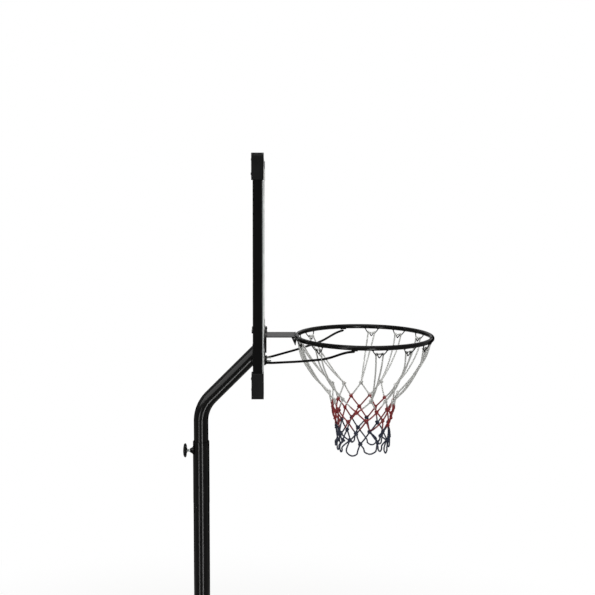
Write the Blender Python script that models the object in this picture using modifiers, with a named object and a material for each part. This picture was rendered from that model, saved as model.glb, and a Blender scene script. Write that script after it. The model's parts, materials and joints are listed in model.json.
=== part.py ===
"""A height-adjustable basketball stand, modelled in metres with +Z up.

The mast's axis is the line x = 0, y = 0, the hoop reaches out along +X, and the
floor is z = 0. The stand is modelled in its lowest setting.
"""

import math

import bmesh
import bpy
import numpy as np
from mathutils import Matrix, Vector

GAP = 0.0003
SIDES = 24

# The rim's height above the floor, which the backboard and the bracket follow.
RIM_Z = 2.570

# The telescoping mast.
POLE_R = 0.0284
POLE_WALL = 0.0012
NECK_R = 0.0269
NECK_WALL = 0.0008
NECK_LENGTH = 0.070
SLEEVE_R = 0.0288
MAST_R = 0.0254
MAST_WALL = 0.0015
POLE_FOOT_Z = 0.032
LOWER_SEAM_Z = 0.960
UPPER_SEAM_Z = 1.978
SLEEVE_TOP_Z = 2.200
MAST_FOOT_Z = 1.420
SLEEVE_WALL = 0.0014
BEND_Z = 2.322
BEND_RADIUS = 0.120
BEND_ANGLE = math.radians(45)

# The clamp that holds the sliding mast.
CLAMP_Z = 2.167
CLAMP_THREAD_R = 0.005
CLAMP_CLEARANCE = 0.0004
KNOB_R = 0.025
KNOB_LOBES = 6
KNOB_OUTER_X = -0.0627
KNOB_INNER_X = -0.0491
KNOB_HOLLOW = 0.0022
KNOB_EDGE_R = 0.004
KNOB_BORE_DEPTH = 0.0065
BOSS_PROFILE = (
    (0, 0.0105),
    (0.0065, 0.0105),
    (0.0075, 0.0095),
    (0.0125, 0.0005),
    (0.0125, -0.0015),
    (0, -0.0015),
)

# The backboard.
BOARD_HALF_WIDTH = 0.545
BOARD_BOTTOM_Z = RIM_Z - 0.096
BOARD_TOP_Z = RIM_Z + 0.6145
FRAME_BACK_X = 0.190
FRAME_DEPTH = 0.027
FRAME_WIDTH = 0.025
FRAME_WALL = 0.0015
SHEET_THICK = 0.003
CAP_REACH = 0.0775
CAP_WIDTH = 0.036
CAP_WALL = 0.0033
CAP_BACK_X = 0.186
CAP_LIP = 0.001
CAP_CORNER_R = 0.012
FRAME_EDGE = CAP_WALL + GAP
FRAME_FRONT_X = FRAME_BACK_X + FRAME_DEPTH
SHEET_BACK_X = FRAME_FRONT_X + GAP
SHEET_FRONT_X = SHEET_BACK_X + SHEET_THICK

# The rim, its bracket and the bolts that hold them to the board.
RIM_CENTRE_X = 0.566
RIM_RADIUS = 0.233
RIM_ROD_R = 0.008
BACK_PLATE_X = SHEET_FRONT_X + GAP
BACK_PLATE_THICK = 0.004
BACK_PLATE_HALF_WIDTH = 0.060
BACK_PLATE_TOP = 0.032
BACK_PLATE_BOTTOM = -0.092
BACK_PLATE_CORNER_R = 0.012
TOP_PLATE_HALF_WIDTH = 0.053
TOP_PLATE_THICK = 0.003
TOP_PLATE_HEIGHT = 0.0075
FLANGE_DROP = 0.048
FLANGE_THICK = 0.004
BOLT_Y = 0.034
BOLT_UPPER_Z = RIM_Z + 0.023
BOLT_LOWER_Z = RIM_Z - 0.080
BOLT_R = 0.004
BOLT_HOLE_R = 0.0046
HEAD_R = 0.0075
HEAD_THICK = 0.0055
BOLT_REACH = {"upper": 0.010, "lower": 0.020}
BRACKET_BACK_X = 0.1835
BRACKET_HALF_WIDTH = 0.058
BRACKET_CORNER_R = 0.008
BRACE_R = 0.004
BRACE_START = (BACK_PLATE_X + BACK_PLATE_THICK + GAP, 0.050, -0.084)
BRACE_TIP = (0.514, 0.2215, -0.0126)
BRACE_STUB = 0.007
BRACE_RISE = (
    (0.0, -0.0840),
    (0.38, -0.0660),
    (0.68, -0.0480),
    (0.80, -0.0330),
    (0.90, -0.0185),
    (1.0, BRACE_TIP[2]),
)

# The net and the hooks it hangs from, with angles counted from the rim's front. The net's
# twelfth loop hangs at the tab under the plate.
HOOK_ANGLES = (-4, 26, 51, 77, 141, 164, 194, 223, 277, 304, 327)
TAB_ANGLE = 180
HOOK_WIRE_R = 0.0018
HOOK_LEG_SPREAD = 0.0235
HOOK_DIP_SPREAD = 0.0120
HOOK_DIP_DROP = 0.0235
HOOK_TIP_DROP = 0.033
HOOK_LEAN = 0.40
HOOK_START_DROP = RIM_ROD_R + HOOK_WIRE_R + GAP
TAB_THICK = 0.004
TAB_REAR_X = 0.3115
TAB_STEP_X = 0.3240
TAB_FRONT_X = 0.3335
TAB_TIP_X = 0.3295
TAB_DROP = 0.031
NET_STRING = 0.0042
KNOT_R = 0.0055
KNOT_HALF = 0.0025
STRING_BEHIND_HOOK = 0.0045
NET_ROWS = (
    (0.190, 0.118),
    (0.237, 0.108),
    (0.273, 0.099),
    (0.314, 0.095),
    (0.353, 0.092),
    (0.393, 0.096),
)

# The ballast tank, its wheels and its struts.
TANK_REAR_X = -0.900
TANK_FRONT_X = 0.170
TANK_REAR_HALF = 0.360
TANK_FRONT_HALF = 0.270
TANK_TOP_Z = 0.165
TANK_REAR_CORNER_R = 0.110
TANK_FRONT_CORNER_R = 0.070
TANK_LEVELS = (
    (0.000, 0.026),
    (0.004, 0.018),
    (0.016, 0.010),
    (0.076, 0.005),
    (0.079, 0.000),
    (0.085, 0.000),
    (0.088, 0.005),
    (0.136, 0.012),
    (0.155, 0.024),
    (TANK_TOP_Z, 0.044),
)
SOCKET_TOP_Z = 0.215
SOCKET_TOP_R = 0.046
SOCKET_SHOULDER_R = 0.052
SOCKET_FOOT_R = 0.075
SOCKET_CLEARANCE = 0.0006
WELL_REACH = 0.085
WELL_TOP_Z = 0.151
GROOVE_YS = (-0.130, -0.045, 0.045, 0.130)
GROOVE_REAR_X = -0.660
GROOVE_FRONT_X = -0.140
GROOVE_HALF = 0.014
GROOVE_DEPTH = 0.010
AXLE_X = 0.105
AXLE_Z = 0.075
AXLE_R = 0.005
AXLE_HALF = 0.290
AXLE_CAP_R = 0.010
WHEEL_R = 0.065
WHEEL_WIDTH = 0.040
WHEEL_CLEARANCE = 0.0006
WHEEL_Y = 0.250
WELL_INNER_Y = 0.222
FILLER_X = -0.760
FILLER_NECK_R = 0.024
FILLER_BORE_R = 0.019
FILLER_NECK_TOP = TANK_TOP_Z + 0.016
FILLER_DEPTH = 0.070
FILLER_CAP_R = 0.030
FILLER_ROOF = 0.006
FILLER_GRIP_REACH = 0.022
FILLER_GRIP_HALF = 0.004
FILLER_GRIP_TOP = 0.014
STRUT_R = 0.011
STRUT_TOP_Z = 0.640
STRUT_FOOT = (-0.560, 0.215)
STRUT_TAB_HALF = 0.016
STRUT_TAB_THICK = 0.005


def cleared_collections():
    for obj in list(bpy.data.objects):
        bpy.data.objects.remove(obj, do_unlink=True)
    made = []
    for name in ("basketball_stand", "cutters"):
        collection = bpy.data.collections.new(name)
        bpy.context.scene.collection.children.link(collection)
        made.append(collection)
    return made


PARTS, CUTTERS = cleared_collections()


def material(name, colour, roughness, metallic=0.0):
    made = bpy.data.materials.new(name)
    made.use_nodes = True
    shader = made.node_tree.nodes["Principled BSDF"]
    shader.inputs["Base Color"].default_value = (*colour, 1.0)
    shader.inputs["Roughness"].default_value = roughness
    shader.inputs["Metallic"].default_value = metallic
    return made


STEEL_BLACK = ((0.012, 0.012, 0.012), 0.35)
ZINC = ((0.55, 0.56, 0.58), 0.35, 1.0)
MOULDED_BLACK = ((0.015, 0.015, 0.016), 0.55)
CLEAR_SHEET = ((0.70, 0.74, 0.76), 0.10)
NET_WHITE = ((0.80, 0.80, 0.78), 0.90)

# The bolts above the rim are black like the plate they hold, the lower ones are plated.
BOLT_FINISH = {"upper": STEEL_BLACK, "lower": ZINC}


def object_of(name, mesh, collection=PARTS, finish=None, smooth=True):
    """A new object for this mesh, in its collection, with a material of its own."""
    obj = bpy.data.objects.new(name, mesh)
    collection.objects.link(obj)
    if finish:
        mesh.materials.append(material(name, *finish))
    if smooth:
        mesh.shade_smooth()
        mesh.set_sharp_from_angle(angle=math.radians(35))
    return obj


def mesh_of(bm, name):
    bmesh.ops.recalc_face_normals(bm, faces=bm.faces)
    mesh = bpy.data.meshes.new(name)
    bm.to_mesh(mesh)
    bm.free()
    return mesh


def as_cutter(obj):
    obj.hide_render = True
    obj.display_type = "WIRE"
    return obj


def combine(obj, other, operation):
    modifier = obj.modifiers.new(operation.title(), "BOOLEAN")
    modifier.operation = operation
    modifier.solver = "EXACT"
    modifier.object = as_cutter(other)


def cut(obj, *cutters):
    for cutter in cutters:
        combine(obj, cutter, "DIFFERENCE")


def fuse(obj, *others):
    for other in others:
        combine(obj, other, "UNION")


def place_of(finish):
    """Finished parts and cutters are kept in collections of their own."""
    return PARTS if finish else CUTTERS


def block(name, low, high, finish=None):
    """A box between two opposite corners."""
    low, high = Vector(low), Vector(high)
    bm = bmesh.new()
    bmesh.ops.create_cube(bm, size=1.0)
    bmesh.ops.scale(bm, vec=high - low, verts=bm.verts)
    bmesh.ops.translate(bm, vec=(low + high) / 2, verts=bm.verts)
    return object_of(name, mesh_of(bm, name), place_of(finish), finish, smooth=False)


def rod(name, start, end, radius, finish=None, sides=SIDES):
    """A round bar from one point to another."""
    start, end = Vector(start), Vector(end)
    bm = bmesh.new()
    bmesh.ops.create_cone(
        bm,
        cap_ends=True,
        segments=sides,
        radius1=radius,
        radius2=radius,
        depth=(end - start).length,
    )
    turn = (end - start).to_track_quat("Z", "Y").to_matrix().to_4x4()
    bmesh.ops.transform(bm, matrix=Matrix.Translation((start + end) / 2) @ turn, verts=bm.verts)
    return object_of(name, mesh_of(bm, name), place_of(finish), finish)


def turned(name, profile, finish=None, sides=SIDES, place=Matrix.Identity(4)):
    """A turned shape: (radius, height) points round its section, spun by a Screw modifier."""
    points = np.array(profile, float)
    area = np.sum(points[:, 0] * np.roll(points[:, 1], -1) - np.roll(points[:, 0], -1) * points[:, 1])
    if area > 0:
        points = points[::-1]
    hollow = points[:, 0].min() > 0
    bm = bmesh.new()
    verts = [bm.verts.new((r, 0.0, z)) for r, z in points]
    pairs = zip(verts, verts[1:] + (verts[:1] if hollow else []))
    for a, b in pairs:
        bm.edges.new((a, b))
    mesh = bpy.data.meshes.new(name)
    bm.to_mesh(mesh)
    bm.free()
    obj = object_of(name, mesh, place_of(finish), finish, smooth=False)
    obj.matrix_world = place
    screw = obj.modifiers.new("Turn", "SCREW")
    screw.axis = "Z"
    screw.steps = sides
    screw.render_steps = sides
    screw.use_merge_vertices = True
    screw.merge_threshold = 0.0001
    screw.use_smooth_shade = True
    return obj


def swept(name, points, radius, finish, resolution, caps=True):
    """A round wire or tube along a path of straight steps, as a mesh."""
    data = bpy.data.curves.new(name, "CURVE")
    data.dimensions = "3D"
    data.bevel_depth = radius
    data.bevel_resolution = resolution
    data.use_fill_caps = caps
    spline = data.splines.new("POLY")
    spline.points.add(len(points) - 1)
    for point, place in zip(spline.points, points):
        point.co = (*place, 1.0)
    return meshed_curve(name, data, finish)


def plate(name, outline, thickness, finish=None, place=Matrix.Identity(4)):
    """A flat plate: a closed outline in its own XY plane, filled and extruded about it."""
    data = bpy.data.curves.new(name, "CURVE")
    data.dimensions = "2D"
    data.fill_mode = "BOTH"
    data.extrude = thickness / 2
    spline = data.splines.new("POLY")
    spline.points.add(len(outline) - 1)
    for point, (x, y) in zip(spline.points, outline):
        point.co = (x, y, 0.0, 1.0)
    spline.use_cyclic_u = True
    return meshed_curve(name, data, finish, place)


def meshed_curve(name, data, finish, place=Matrix.Identity(4)):
    """A curve made into a closed mesh, at its place."""
    guide = bpy.data.objects.new(name + "_guide", data)
    CUTTERS.objects.link(guide)
    guide.matrix_world = place
    bpy.context.view_layer.update()
    graph = bpy.context.evaluated_depsgraph_get()
    mesh = bpy.data.meshes.new_from_object(guide.evaluated_get(graph))
    bm = bmesh.new()
    bm.from_mesh(mesh)
    bmesh.ops.remove_doubles(bm, verts=bm.verts, dist=0.00002)
    bmesh.ops.recalc_face_normals(bm, faces=bm.faces)
    bm.to_mesh(mesh)
    bm.free()
    mesh.name = name
    obj = object_of(name, mesh, place_of(finish), finish)
    obj.matrix_world = guide.matrix_world
    bpy.data.objects.remove(guide, do_unlink=True)
    return obj


def lofted(name, sections, finish, sides=12):
    """A solid through oval sections, each (centre, half width vector, half height vector)."""
    bm = bmesh.new()
    rings = []
    for centre, across, up in sections:
        ring = []
        for step in range(sides):
            turn = 2 * math.pi * (step + 0.5) / sides
            point = Vector(centre) + Vector(across) * math.cos(turn) + Vector(up) * math.sin(turn)
            ring.append(bm.verts.new(point))
        rings.append(ring)
    for lower, upper in zip(rings, rings[1:]):
        for step in range(sides):
            after = (step + 1) % sides
            bm.faces.new((lower[step], lower[after], upper[after], upper[step]))
    bm.faces.new(rings[0])
    bm.faces.new(rings[-1])
    return object_of(name, mesh_of(bm, name), PARTS, finish)


def rounded_outline(corners, arc_steps=6):
    """Points along a polygon whose corners, given as (x, y, radius), are rounded off."""
    outline = []
    count = len(corners)
    for index, (x, y, radius) in enumerate(corners):
        corner = Vector((x, y))
        before = (Vector(corners[index - 1][:2]) - corner).normalized()
        after = (Vector(corners[(index + 1) % count][:2]) - corner).normalized()
        half = before.angle(after) / 2
        centre = corner + (before + after).normalized() * radius / math.sin(half)
        start = corner + before * radius / math.tan(half) - centre
        end = corner + after * radius / math.tan(half) - centre
        sweep = start.angle_signed(end)
        for step in range(arc_steps + 1):
            turn = Matrix.Rotation(-sweep * step / arc_steps, 2)
            outline.append(tuple(centre + turn @ start))
    return outline


def bevelled(obj, width, segments=2, angle=40):
    modifier = obj.modifiers.new("Bevel", "BEVEL")
    modifier.width = width
    modifier.segments = segments
    modifier.limit_method = "ANGLE"
    modifier.angle_limit = math.radians(angle)
    return obj


def facing(x, y, z, axis):
    """A placement whose own Z axis points along the world's X or Y axis."""
    turn = {"X": Matrix.Rotation(math.pi / 2, 4, "Y"), "-Y": Matrix.Rotation(math.pi / 2, 4, "X")}
    return Matrix.Translation((x, y, z)) @ turn[axis]


def hex_bolt(name, head_x, end_x, y, z, finish=ZINC):
    """A hexagon-headed bolt along X, with its head at the low end of X."""
    bolt = rod(name, (head_x - HEAD_THICK / 2, y, z), (end_x, y, z), BOLT_R, finish, sides=12)
    fuse(bolt, rod(name + "_head", (head_x - HEAD_THICK, y, z), (head_x, y, z), HEAD_R, sides=6))
    return bolt


def hex_nut(name, x, y, z, finish=ZINC):
    """A hexagon nut along X that starts at x."""
    nut = rod(name, (x, y, z), (x + HEAD_THICK, y, z), HEAD_R, finish, sides=6)
    cut(nut, rod(name + "_bore", (x - 0.01, y, z), (x + 0.02, y, z), BOLT_R + GAP, sides=12))
    return nut


def make_tank():
    outline = np.array(
        rounded_outline(
            (
                (TANK_REAR_X, -TANK_REAR_HALF, TANK_REAR_CORNER_R),
                (TANK_FRONT_X, -TANK_FRONT_HALF, TANK_FRONT_CORNER_R),
                (TANK_FRONT_X, TANK_FRONT_HALF, TANK_FRONT_CORNER_R),
                (TANK_REAR_X, TANK_REAR_HALF, TANK_REAR_CORNER_R),
            )
        )
    )
    low, high = outline.min(axis=0), outline.max(axis=0)
    centre, half = (low + high) / 2, (high - low) / 2
    bm = bmesh.new()
    rings = []
    for z, inset in TANK_LEVELS:
        level = centre + (outline - centre) * (1 - inset / half)
        rings.append([bm.verts.new((x, y, z)) for x, y in level])
    count = len(outline)
    for lower, upper in zip(rings, rings[1:]):
        for step in range(count):
            after = (step + 1) % count
            bm.faces.new((lower[step], lower[after], upper[after], upper[step]))
    bm.faces.new(rings[0])
    bm.faces.new(rings[-1])
    tank = object_of("base_tank", mesh_of(bm, "base_tank"), PARTS, MOULDED_BLACK)
    sink = TANK_TOP_Z - 0.010
    fuse(
        tank,
        turned(
            "tank_tower",
            (
                (0, SOCKET_TOP_Z),
                (SOCKET_TOP_R, SOCKET_TOP_Z),
                (SOCKET_SHOULDER_R, SOCKET_TOP_Z - 0.006),
                (SOCKET_FOOT_R, sink),
                (0, sink),
            ),
        ),
        rod("tank_neck", (FILLER_X, 0, sink), (FILLER_X, 0, FILLER_NECK_TOP), FILLER_NECK_R),
    )
    cut(
        tank,
        rod("socket_bore", (0, 0, POLE_FOOT_Z - 0.002), (0, 0, 0.3), POLE_R + SOCKET_CLEARANCE),
        rod("filler_bore", (FILLER_X, 0, TANK_TOP_Z - FILLER_DEPTH), (FILLER_X, 0, 0.3), FILLER_BORE_R),
        rod("axle_bore", (AXLE_X, -0.4, AXLE_Z), (AXLE_X, 0.4, AXLE_Z), AXLE_R + 0.0008, sides=12),
    )
    for side, sign in (("left", 1), ("right", -1)):
        inner, outer = sorted((sign * WELL_INNER_Y, sign * 0.4))
        cut(
            tank,
            block("wheel_well_" + side, (AXLE_X - WELL_REACH, inner, -0.01), (0.3, outer, WELL_TOP_Z)),
            rod(
                "strut_hole_" + side,
                (STRUT_FOOT[0], sign * STRUT_FOOT[1], TANK_TOP_Z - 0.045),
                (STRUT_FOOT[0], sign * STRUT_FOOT[1], 0.3),
                BOLT_HOLE_R,
                sides=12,
            ),
        )
    round_off = GROOVE_HALF * 0.98
    for number, y in enumerate(GROOVE_YS):
        low, high = y - GROOVE_HALF, y + GROOVE_HALF
        rear, front = GROOVE_REAR_X, GROOVE_FRONT_X
        corners = ((rear, low), (front, low), (front, high), (rear, high))
        outline = rounded_outline([(*corner, round_off) for corner in corners], arc_steps=4)
        place = Matrix.Translation((0, 0, TANK_TOP_Z))
        cut(tank, plate(f"top_groove_{number}", outline, GROOVE_DEPTH * 2, place=place))


def make_filler_cap():
    """A screw cap that covers the neck, with finger ribs round its edge."""
    roof = FILLER_NECK_TOP + 0.001
    skirt_r = FILLER_NECK_R + 0.001
    cap = turned(
        "filler_cap",
        (
            (0, roof + FILLER_ROOF),
            (FILLER_CAP_R - 0.003, roof + FILLER_ROOF),
            (FILLER_CAP_R, roof + FILLER_ROOF - 0.003),
            (FILLER_CAP_R, TANK_TOP_Z + 0.003),
            (skirt_r, TANK_TOP_Z + 0.003),
            (skirt_r, roof),
            (FILLER_BORE_R - 0.0015, roof),
            (FILLER_BORE_R - 0.0015, roof - 0.008),
            (0, roof - 0.008),
        ),
        MOULDED_BLACK,
        place=Matrix.Translation((FILLER_X, 0, 0)),
    )
    fuse(
        cap,
        block(
            "cap_grip",
            (FILLER_X - FILLER_GRIP_REACH, -FILLER_GRIP_HALF, roof + FILLER_ROOF - 0.002),
            (FILLER_X + FILLER_GRIP_REACH, FILLER_GRIP_HALF, roof + FILLER_GRIP_TOP),
        ),
    )


def make_wheels():
    rod("wheel_axle", (AXLE_X, -AXLE_HALF, AXLE_Z), (AXLE_X, AXLE_HALF, AXLE_Z), AXLE_R, ZINC, sides=16)
    half = WHEEL_WIDTH / 2
    bore = AXLE_R + WHEEL_CLEARANCE
    profile = (
        (bore, half),
        (0.016, half),
        (0.018, half - 0.010),
        (0.050, half - 0.010),
        (0.053, half - 0.003),
        (0.060, half - 0.003),
        (WHEEL_R, half - 0.009),
        (WHEEL_R, -half + 0.009),
        (0.060, -half + 0.003),
        (0.053, -half + 0.003),
        (0.050, -half + 0.010),
        (0.018, -half + 0.010),
        (0.016, -half),
        (bore, -half),
    )
    for side, sign in (("left", 1), ("right", -1)):
        y = sign * WHEEL_Y
        turned("wheel_" + side, profile, MOULDED_BLACK, sides=32, place=facing(AXLE_X, y, AXLE_Z, "-Y"))
        start = y + sign * (half + 0.002)
        end = sign * (AXLE_HALF + 0.004)
        begin, finish = (AXLE_X, start, AXLE_Z), (AXLE_X, end, AXLE_Z)
        cap = rod("axle_cap_" + side, begin, finish, AXLE_CAP_R, ZINC, sides=16)
        mouth = (AXLE_X, start - sign * 0.01, AXLE_Z)
        floor = (AXLE_X, sign * (AXLE_HALF + GAP), AXLE_Z)
        cut(cap, rod(cap.name + "_bore", mouth, floor, AXLE_R + GAP, sides=16))


def pole_profile(foot, seam, top_neck):
    """The section of one outer pole, which may end in a neck that enters the next pole."""
    inner = POLE_R - POLE_WALL
    if not top_neck:
        return ((inner, foot), (POLE_R, foot), (POLE_R, seam), (inner, seam))
    neck_inner = NECK_R - NECK_WALL
    return (
        (inner, foot),
        (POLE_R, foot),
        (POLE_R, seam - 0.003),
        (NECK_R, seam),
        (NECK_R, seam + NECK_LENGTH),
        (neck_inner, seam + NECK_LENGTH),
        (neck_inner, seam - 0.002),
        (inner, seam - 0.005),
    )


def make_poles():
    bottom = turned("bottom_pole", pole_profile(POLE_FOOT_Z, LOWER_SEAM_Z, True), STEEL_BLACK)
    middle = turned("middle_pole", pole_profile(LOWER_SEAM_Z + GAP, UPPER_SEAM_Z, True), STEEL_BLACK)
    inner = SLEEVE_R - SLEEVE_WALL
    start = UPPER_SEAM_Z + GAP
    sleeve = turned(
        "clamp_tube",
        ((inner, start), (SLEEVE_R, start), (SLEEVE_R, SLEEVE_TOP_Z), (inner, SLEEVE_TOP_Z)),
        STEEL_BLACK,
    )
    boss = turned(
        "clamp_boss",
        BOSS_PROFILE,
        place=facing(-SLEEVE_R + 0.0005, 0, CLAMP_Z, "X") @ Matrix.Rotation(math.pi, 4, "X"),
    )
    fuse(sleeve, boss)
    bore_r = CLAMP_THREAD_R + CLAMP_CLEARANCE
    cut(sleeve, rod("clamp_bore", (-0.06, 0, CLAMP_Z), (-0.02, 0, CLAMP_Z), bore_r, sides=16))
    bolt_z = LOWER_SEAM_Z + NECK_LENGTH / 2
    reach = POLE_R + 0.0005
    for pole in (bottom, middle):
        name = pole.name + "_bolt_hole"
        cut(pole, rod(name, (-0.05, 0, bolt_z), (0.05, 0, bolt_z), BOLT_HOLE_R, sides=12))
    hex_bolt("pole_bolt", -reach, reach + 0.010, 0, bolt_z)
    hex_nut("pole_nut", reach, 0, bolt_z)
    hole_ends = (0, -0.05, STRUT_TOP_Z), (0, 0.05, STRUT_TOP_Z)
    cut(bottom, rod("strut_bolt_hole", *hole_ends, BOLT_HOLE_R, sides=12))


def make_struts():
    """Two tubes with flattened ends that brace the mast from the back of the tank."""
    tab_y = POLE_R + GAP + STRUT_TAB_THICK / 2
    foot_z = TANK_TOP_Z + GAP + STRUT_TAB_THICK / 2
    thin = STRUT_TAB_THICK / 2
    for side, sign in (("left", 1), ("right", -1)):
        top = Vector((0, sign * tab_y, STRUT_TOP_Z))
        foot = Vector((STRUT_FOOT[0], sign * STRUT_FOOT[1], foot_z))
        lower_bend = foot + Vector((0.050, -sign * 0.016, 0.0))
        upper_bend = top + Vector((-0.038, 0, -0.036))
        run = (lower_bend - upper_bend).normalized()
        side_way = Vector((0, 1, 0))
        side_way = (side_way - run * side_way.dot(run)).normalized()
        rise_way = run.cross(side_way).normalized()
        tab_run = (upper_bend - top).normalized()
        tab_across = Vector((0, 1, 0)).cross(tab_run).normalized()
        foot_run = (foot - lower_bend).normalized()
        foot_across = Vector((0, 0, 1)).cross(foot_run).normalized()
        if rise_way.dot(tab_across) < 0:
            tab_across = -tab_across
        if side_way.dot(foot_across) < 0:
            foot_across = -foot_across
        upright = Vector((0, 0, 1)) if rise_way.z > 0 else Vector((0, 0, -1))
        sections = (
            (top - tab_run * 0.016, Vector((0, thin, 0)), tab_across * STRUT_TAB_HALF * 0.6),
            (top - tab_run * 0.010, Vector((0, thin, 0)), tab_across * STRUT_TAB_HALF),
            (top + tab_run * 0.018, Vector((0, thin, 0)), tab_across * STRUT_TAB_HALF),
            (upper_bend + run * 0.010, side_way * STRUT_R * 0.8, rise_way * STRUT_R * 1.1),
            (upper_bend + run * 0.040, side_way * STRUT_R, rise_way * STRUT_R),
            (lower_bend - run * 0.045, side_way * STRUT_R, rise_way * STRUT_R),
            (lower_bend - run * 0.016, side_way * STRUT_R * 1.1, rise_way * STRUT_R * 0.75),
            (lower_bend + foot_run * 0.014, foot_across * STRUT_TAB_HALF, upright * thin),
            (foot + foot_run * 0.012, foot_across * STRUT_TAB_HALF, upright * thin),
            (foot + foot_run * 0.018, foot_across * STRUT_TAB_HALF * 0.6, upright * thin),
        )
        strut = lofted("strut_" + side, sections, STEEL_BLACK)
        across, down = Vector((0, 0.02, 0)), Vector((0, 0, 0.02))
        cut(
            strut,
            rod("tab_hole_" + side, top - across, top + across, BOLT_HOLE_R, sides=12),
            rod("foot_hole_" + side, foot - down, foot + down, BOLT_HOLE_R, sides=12),
        )
        seat = Vector((foot.x, foot.y, foot_z + thin + GAP))
        tip = Vector((foot.x, foot.y, TANK_TOP_Z - 0.040))
        screw = rod("strut_foot_bolt_" + side, tip, seat + Vector((0, 0, 0.001)), BOLT_R, ZINC, sides=12)
        fuse(screw, rod("foot_head_" + side, seat, seat + Vector((0, 0, HEAD_THICK)), HEAD_R, sides=6))
    outer = tab_y + thin + GAP
    z = STRUT_TOP_Z
    bolt = rod("strut_bolt", (0, -outer - 0.001, z), (0, outer + 0.010, z), BOLT_R, ZINC, sides=12)
    fuse(bolt, rod("strut_bolt_head", (0, -outer - HEAD_THICK, z), (0, -outer, z), HEAD_R, sides=6))
    nut = rod("strut_nut", (0, outer, z), (0, outer + HEAD_THICK, z), HEAD_R, ZINC, sides=6)
    cut(nut, rod("strut_nut_bore", (0, outer - 0.01, z), (0, outer + 0.03, z), BOLT_R + GAP, sides=12))


def make_clamp():
    """The clamp screw and the hand knob on its end."""
    tip = -MAST_R - GAP
    end = KNOB_INNER_X - KNOB_BORE_DEPTH + 0.0005
    rod("clamp_screw", (tip, 0, CLAMP_Z), (end, 0, CLAMP_Z), CLAMP_THREAD_R, ZINC, sides=16)
    outline = []
    steps = 48
    for step in range(steps):
        turn = 2 * math.pi * step / steps
        radius = KNOB_R - KNOB_HOLLOW * (1 - math.cos(KNOB_LOBES * turn)) / 2
        outline.append((radius * math.cos(turn), radius * math.sin(turn)))
    middle = (KNOB_OUTER_X + KNOB_INNER_X) / 2
    place = facing(middle, 0, CLAMP_Z, "X")
    knob = plate("clamp_knob", outline, KNOB_INNER_X - KNOB_OUTER_X, MOULDED_BLACK, place)
    bevelled(knob, KNOB_EDGE_R, segments=3, angle=60)
    bore_start = (KNOB_INNER_X - KNOB_BORE_DEPTH, 0, CLAMP_Z)
    cut(knob, rod("knob_bore", bore_start, (0, 0, CLAMP_Z), CLAMP_THREAD_R + GAP, sides=16))


def mast_path():
    """The sliding mast's axis: straight up, round the bend, and out at 45 degrees."""
    setback = BEND_RADIUS * math.tan(BEND_ANGLE / 2)
    start = BEND_Z - setback
    points = [(0.0, 0.0, MAST_FOOT_Z), (0.0, 0.0, start)]
    steps = 8
    for step in range(1, steps + 1):
        turn = BEND_ANGLE * step / steps
        points.append((BEND_RADIUS * (1 - math.cos(turn)), 0.0, start + BEND_RADIUS * math.sin(turn)))
    reach = 0.240
    points.append((reach, 0.0, BEND_Z + reach))
    return points


def make_mast():
    mast = swept("upper_mast", mast_path(), MAST_R, STEEL_BLACK, 10, caps=False)
    shell = mast.modifiers.new("Wall", "SOLIDIFY")
    shell.thickness = MAST_WALL
    shell.offset = -1.0
    cut(mast, block("mast_end_cut", (BRACKET_BACK_X - GAP, -0.1, 2.3), (0.5, 0.1, 2.8)))
    front = FRAME_BACK_X - GAP
    half, corner = BRACKET_HALF_WIDTH, BRACKET_CORNER_R
    low, high = BOARD_BOTTOM_Z - 0.004, BOLT_UPPER_Z + 0.022
    corners = ((-low, -half), (-high, -half), (-high, half), (-low, half))
    outline = rounded_outline([(*place, corner) for place in corners], arc_steps=3)
    place = facing((front + BRACKET_BACK_X) / 2, 0, 0, "X")
    bracket = plate("mast_bracket", outline, front - BRACKET_BACK_X, STEEL_BLACK, place)
    for index, (y, z) in enumerate(bolt_places()):
        cut(bracket, rod(f"bracket_hole_{index}", (0.15, y, z), (0.25, y, z), BOLT_HOLE_R, sides=12))


def bolt_places():
    return [(sign * BOLT_Y, z) for z in (BOLT_UPPER_Z, BOLT_LOWER_Z) for sign in (1, -1)]


def hollow_bar(name, low, high, long_axis):
    """A rectangular steel tube with open ends, between two corners."""
    bar = block(name, low, high, STEEL_BLACK)
    inner_low, inner_high = Vector(low), Vector(high)
    for axis in range(3):
        margin = 0.01 if axis == long_axis else -FRAME_WALL
        inner_low[axis] -= margin
        inner_high[axis] += margin
    cut(bar, block(name + "_hollow", inner_low, inner_high))
    return bar


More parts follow.
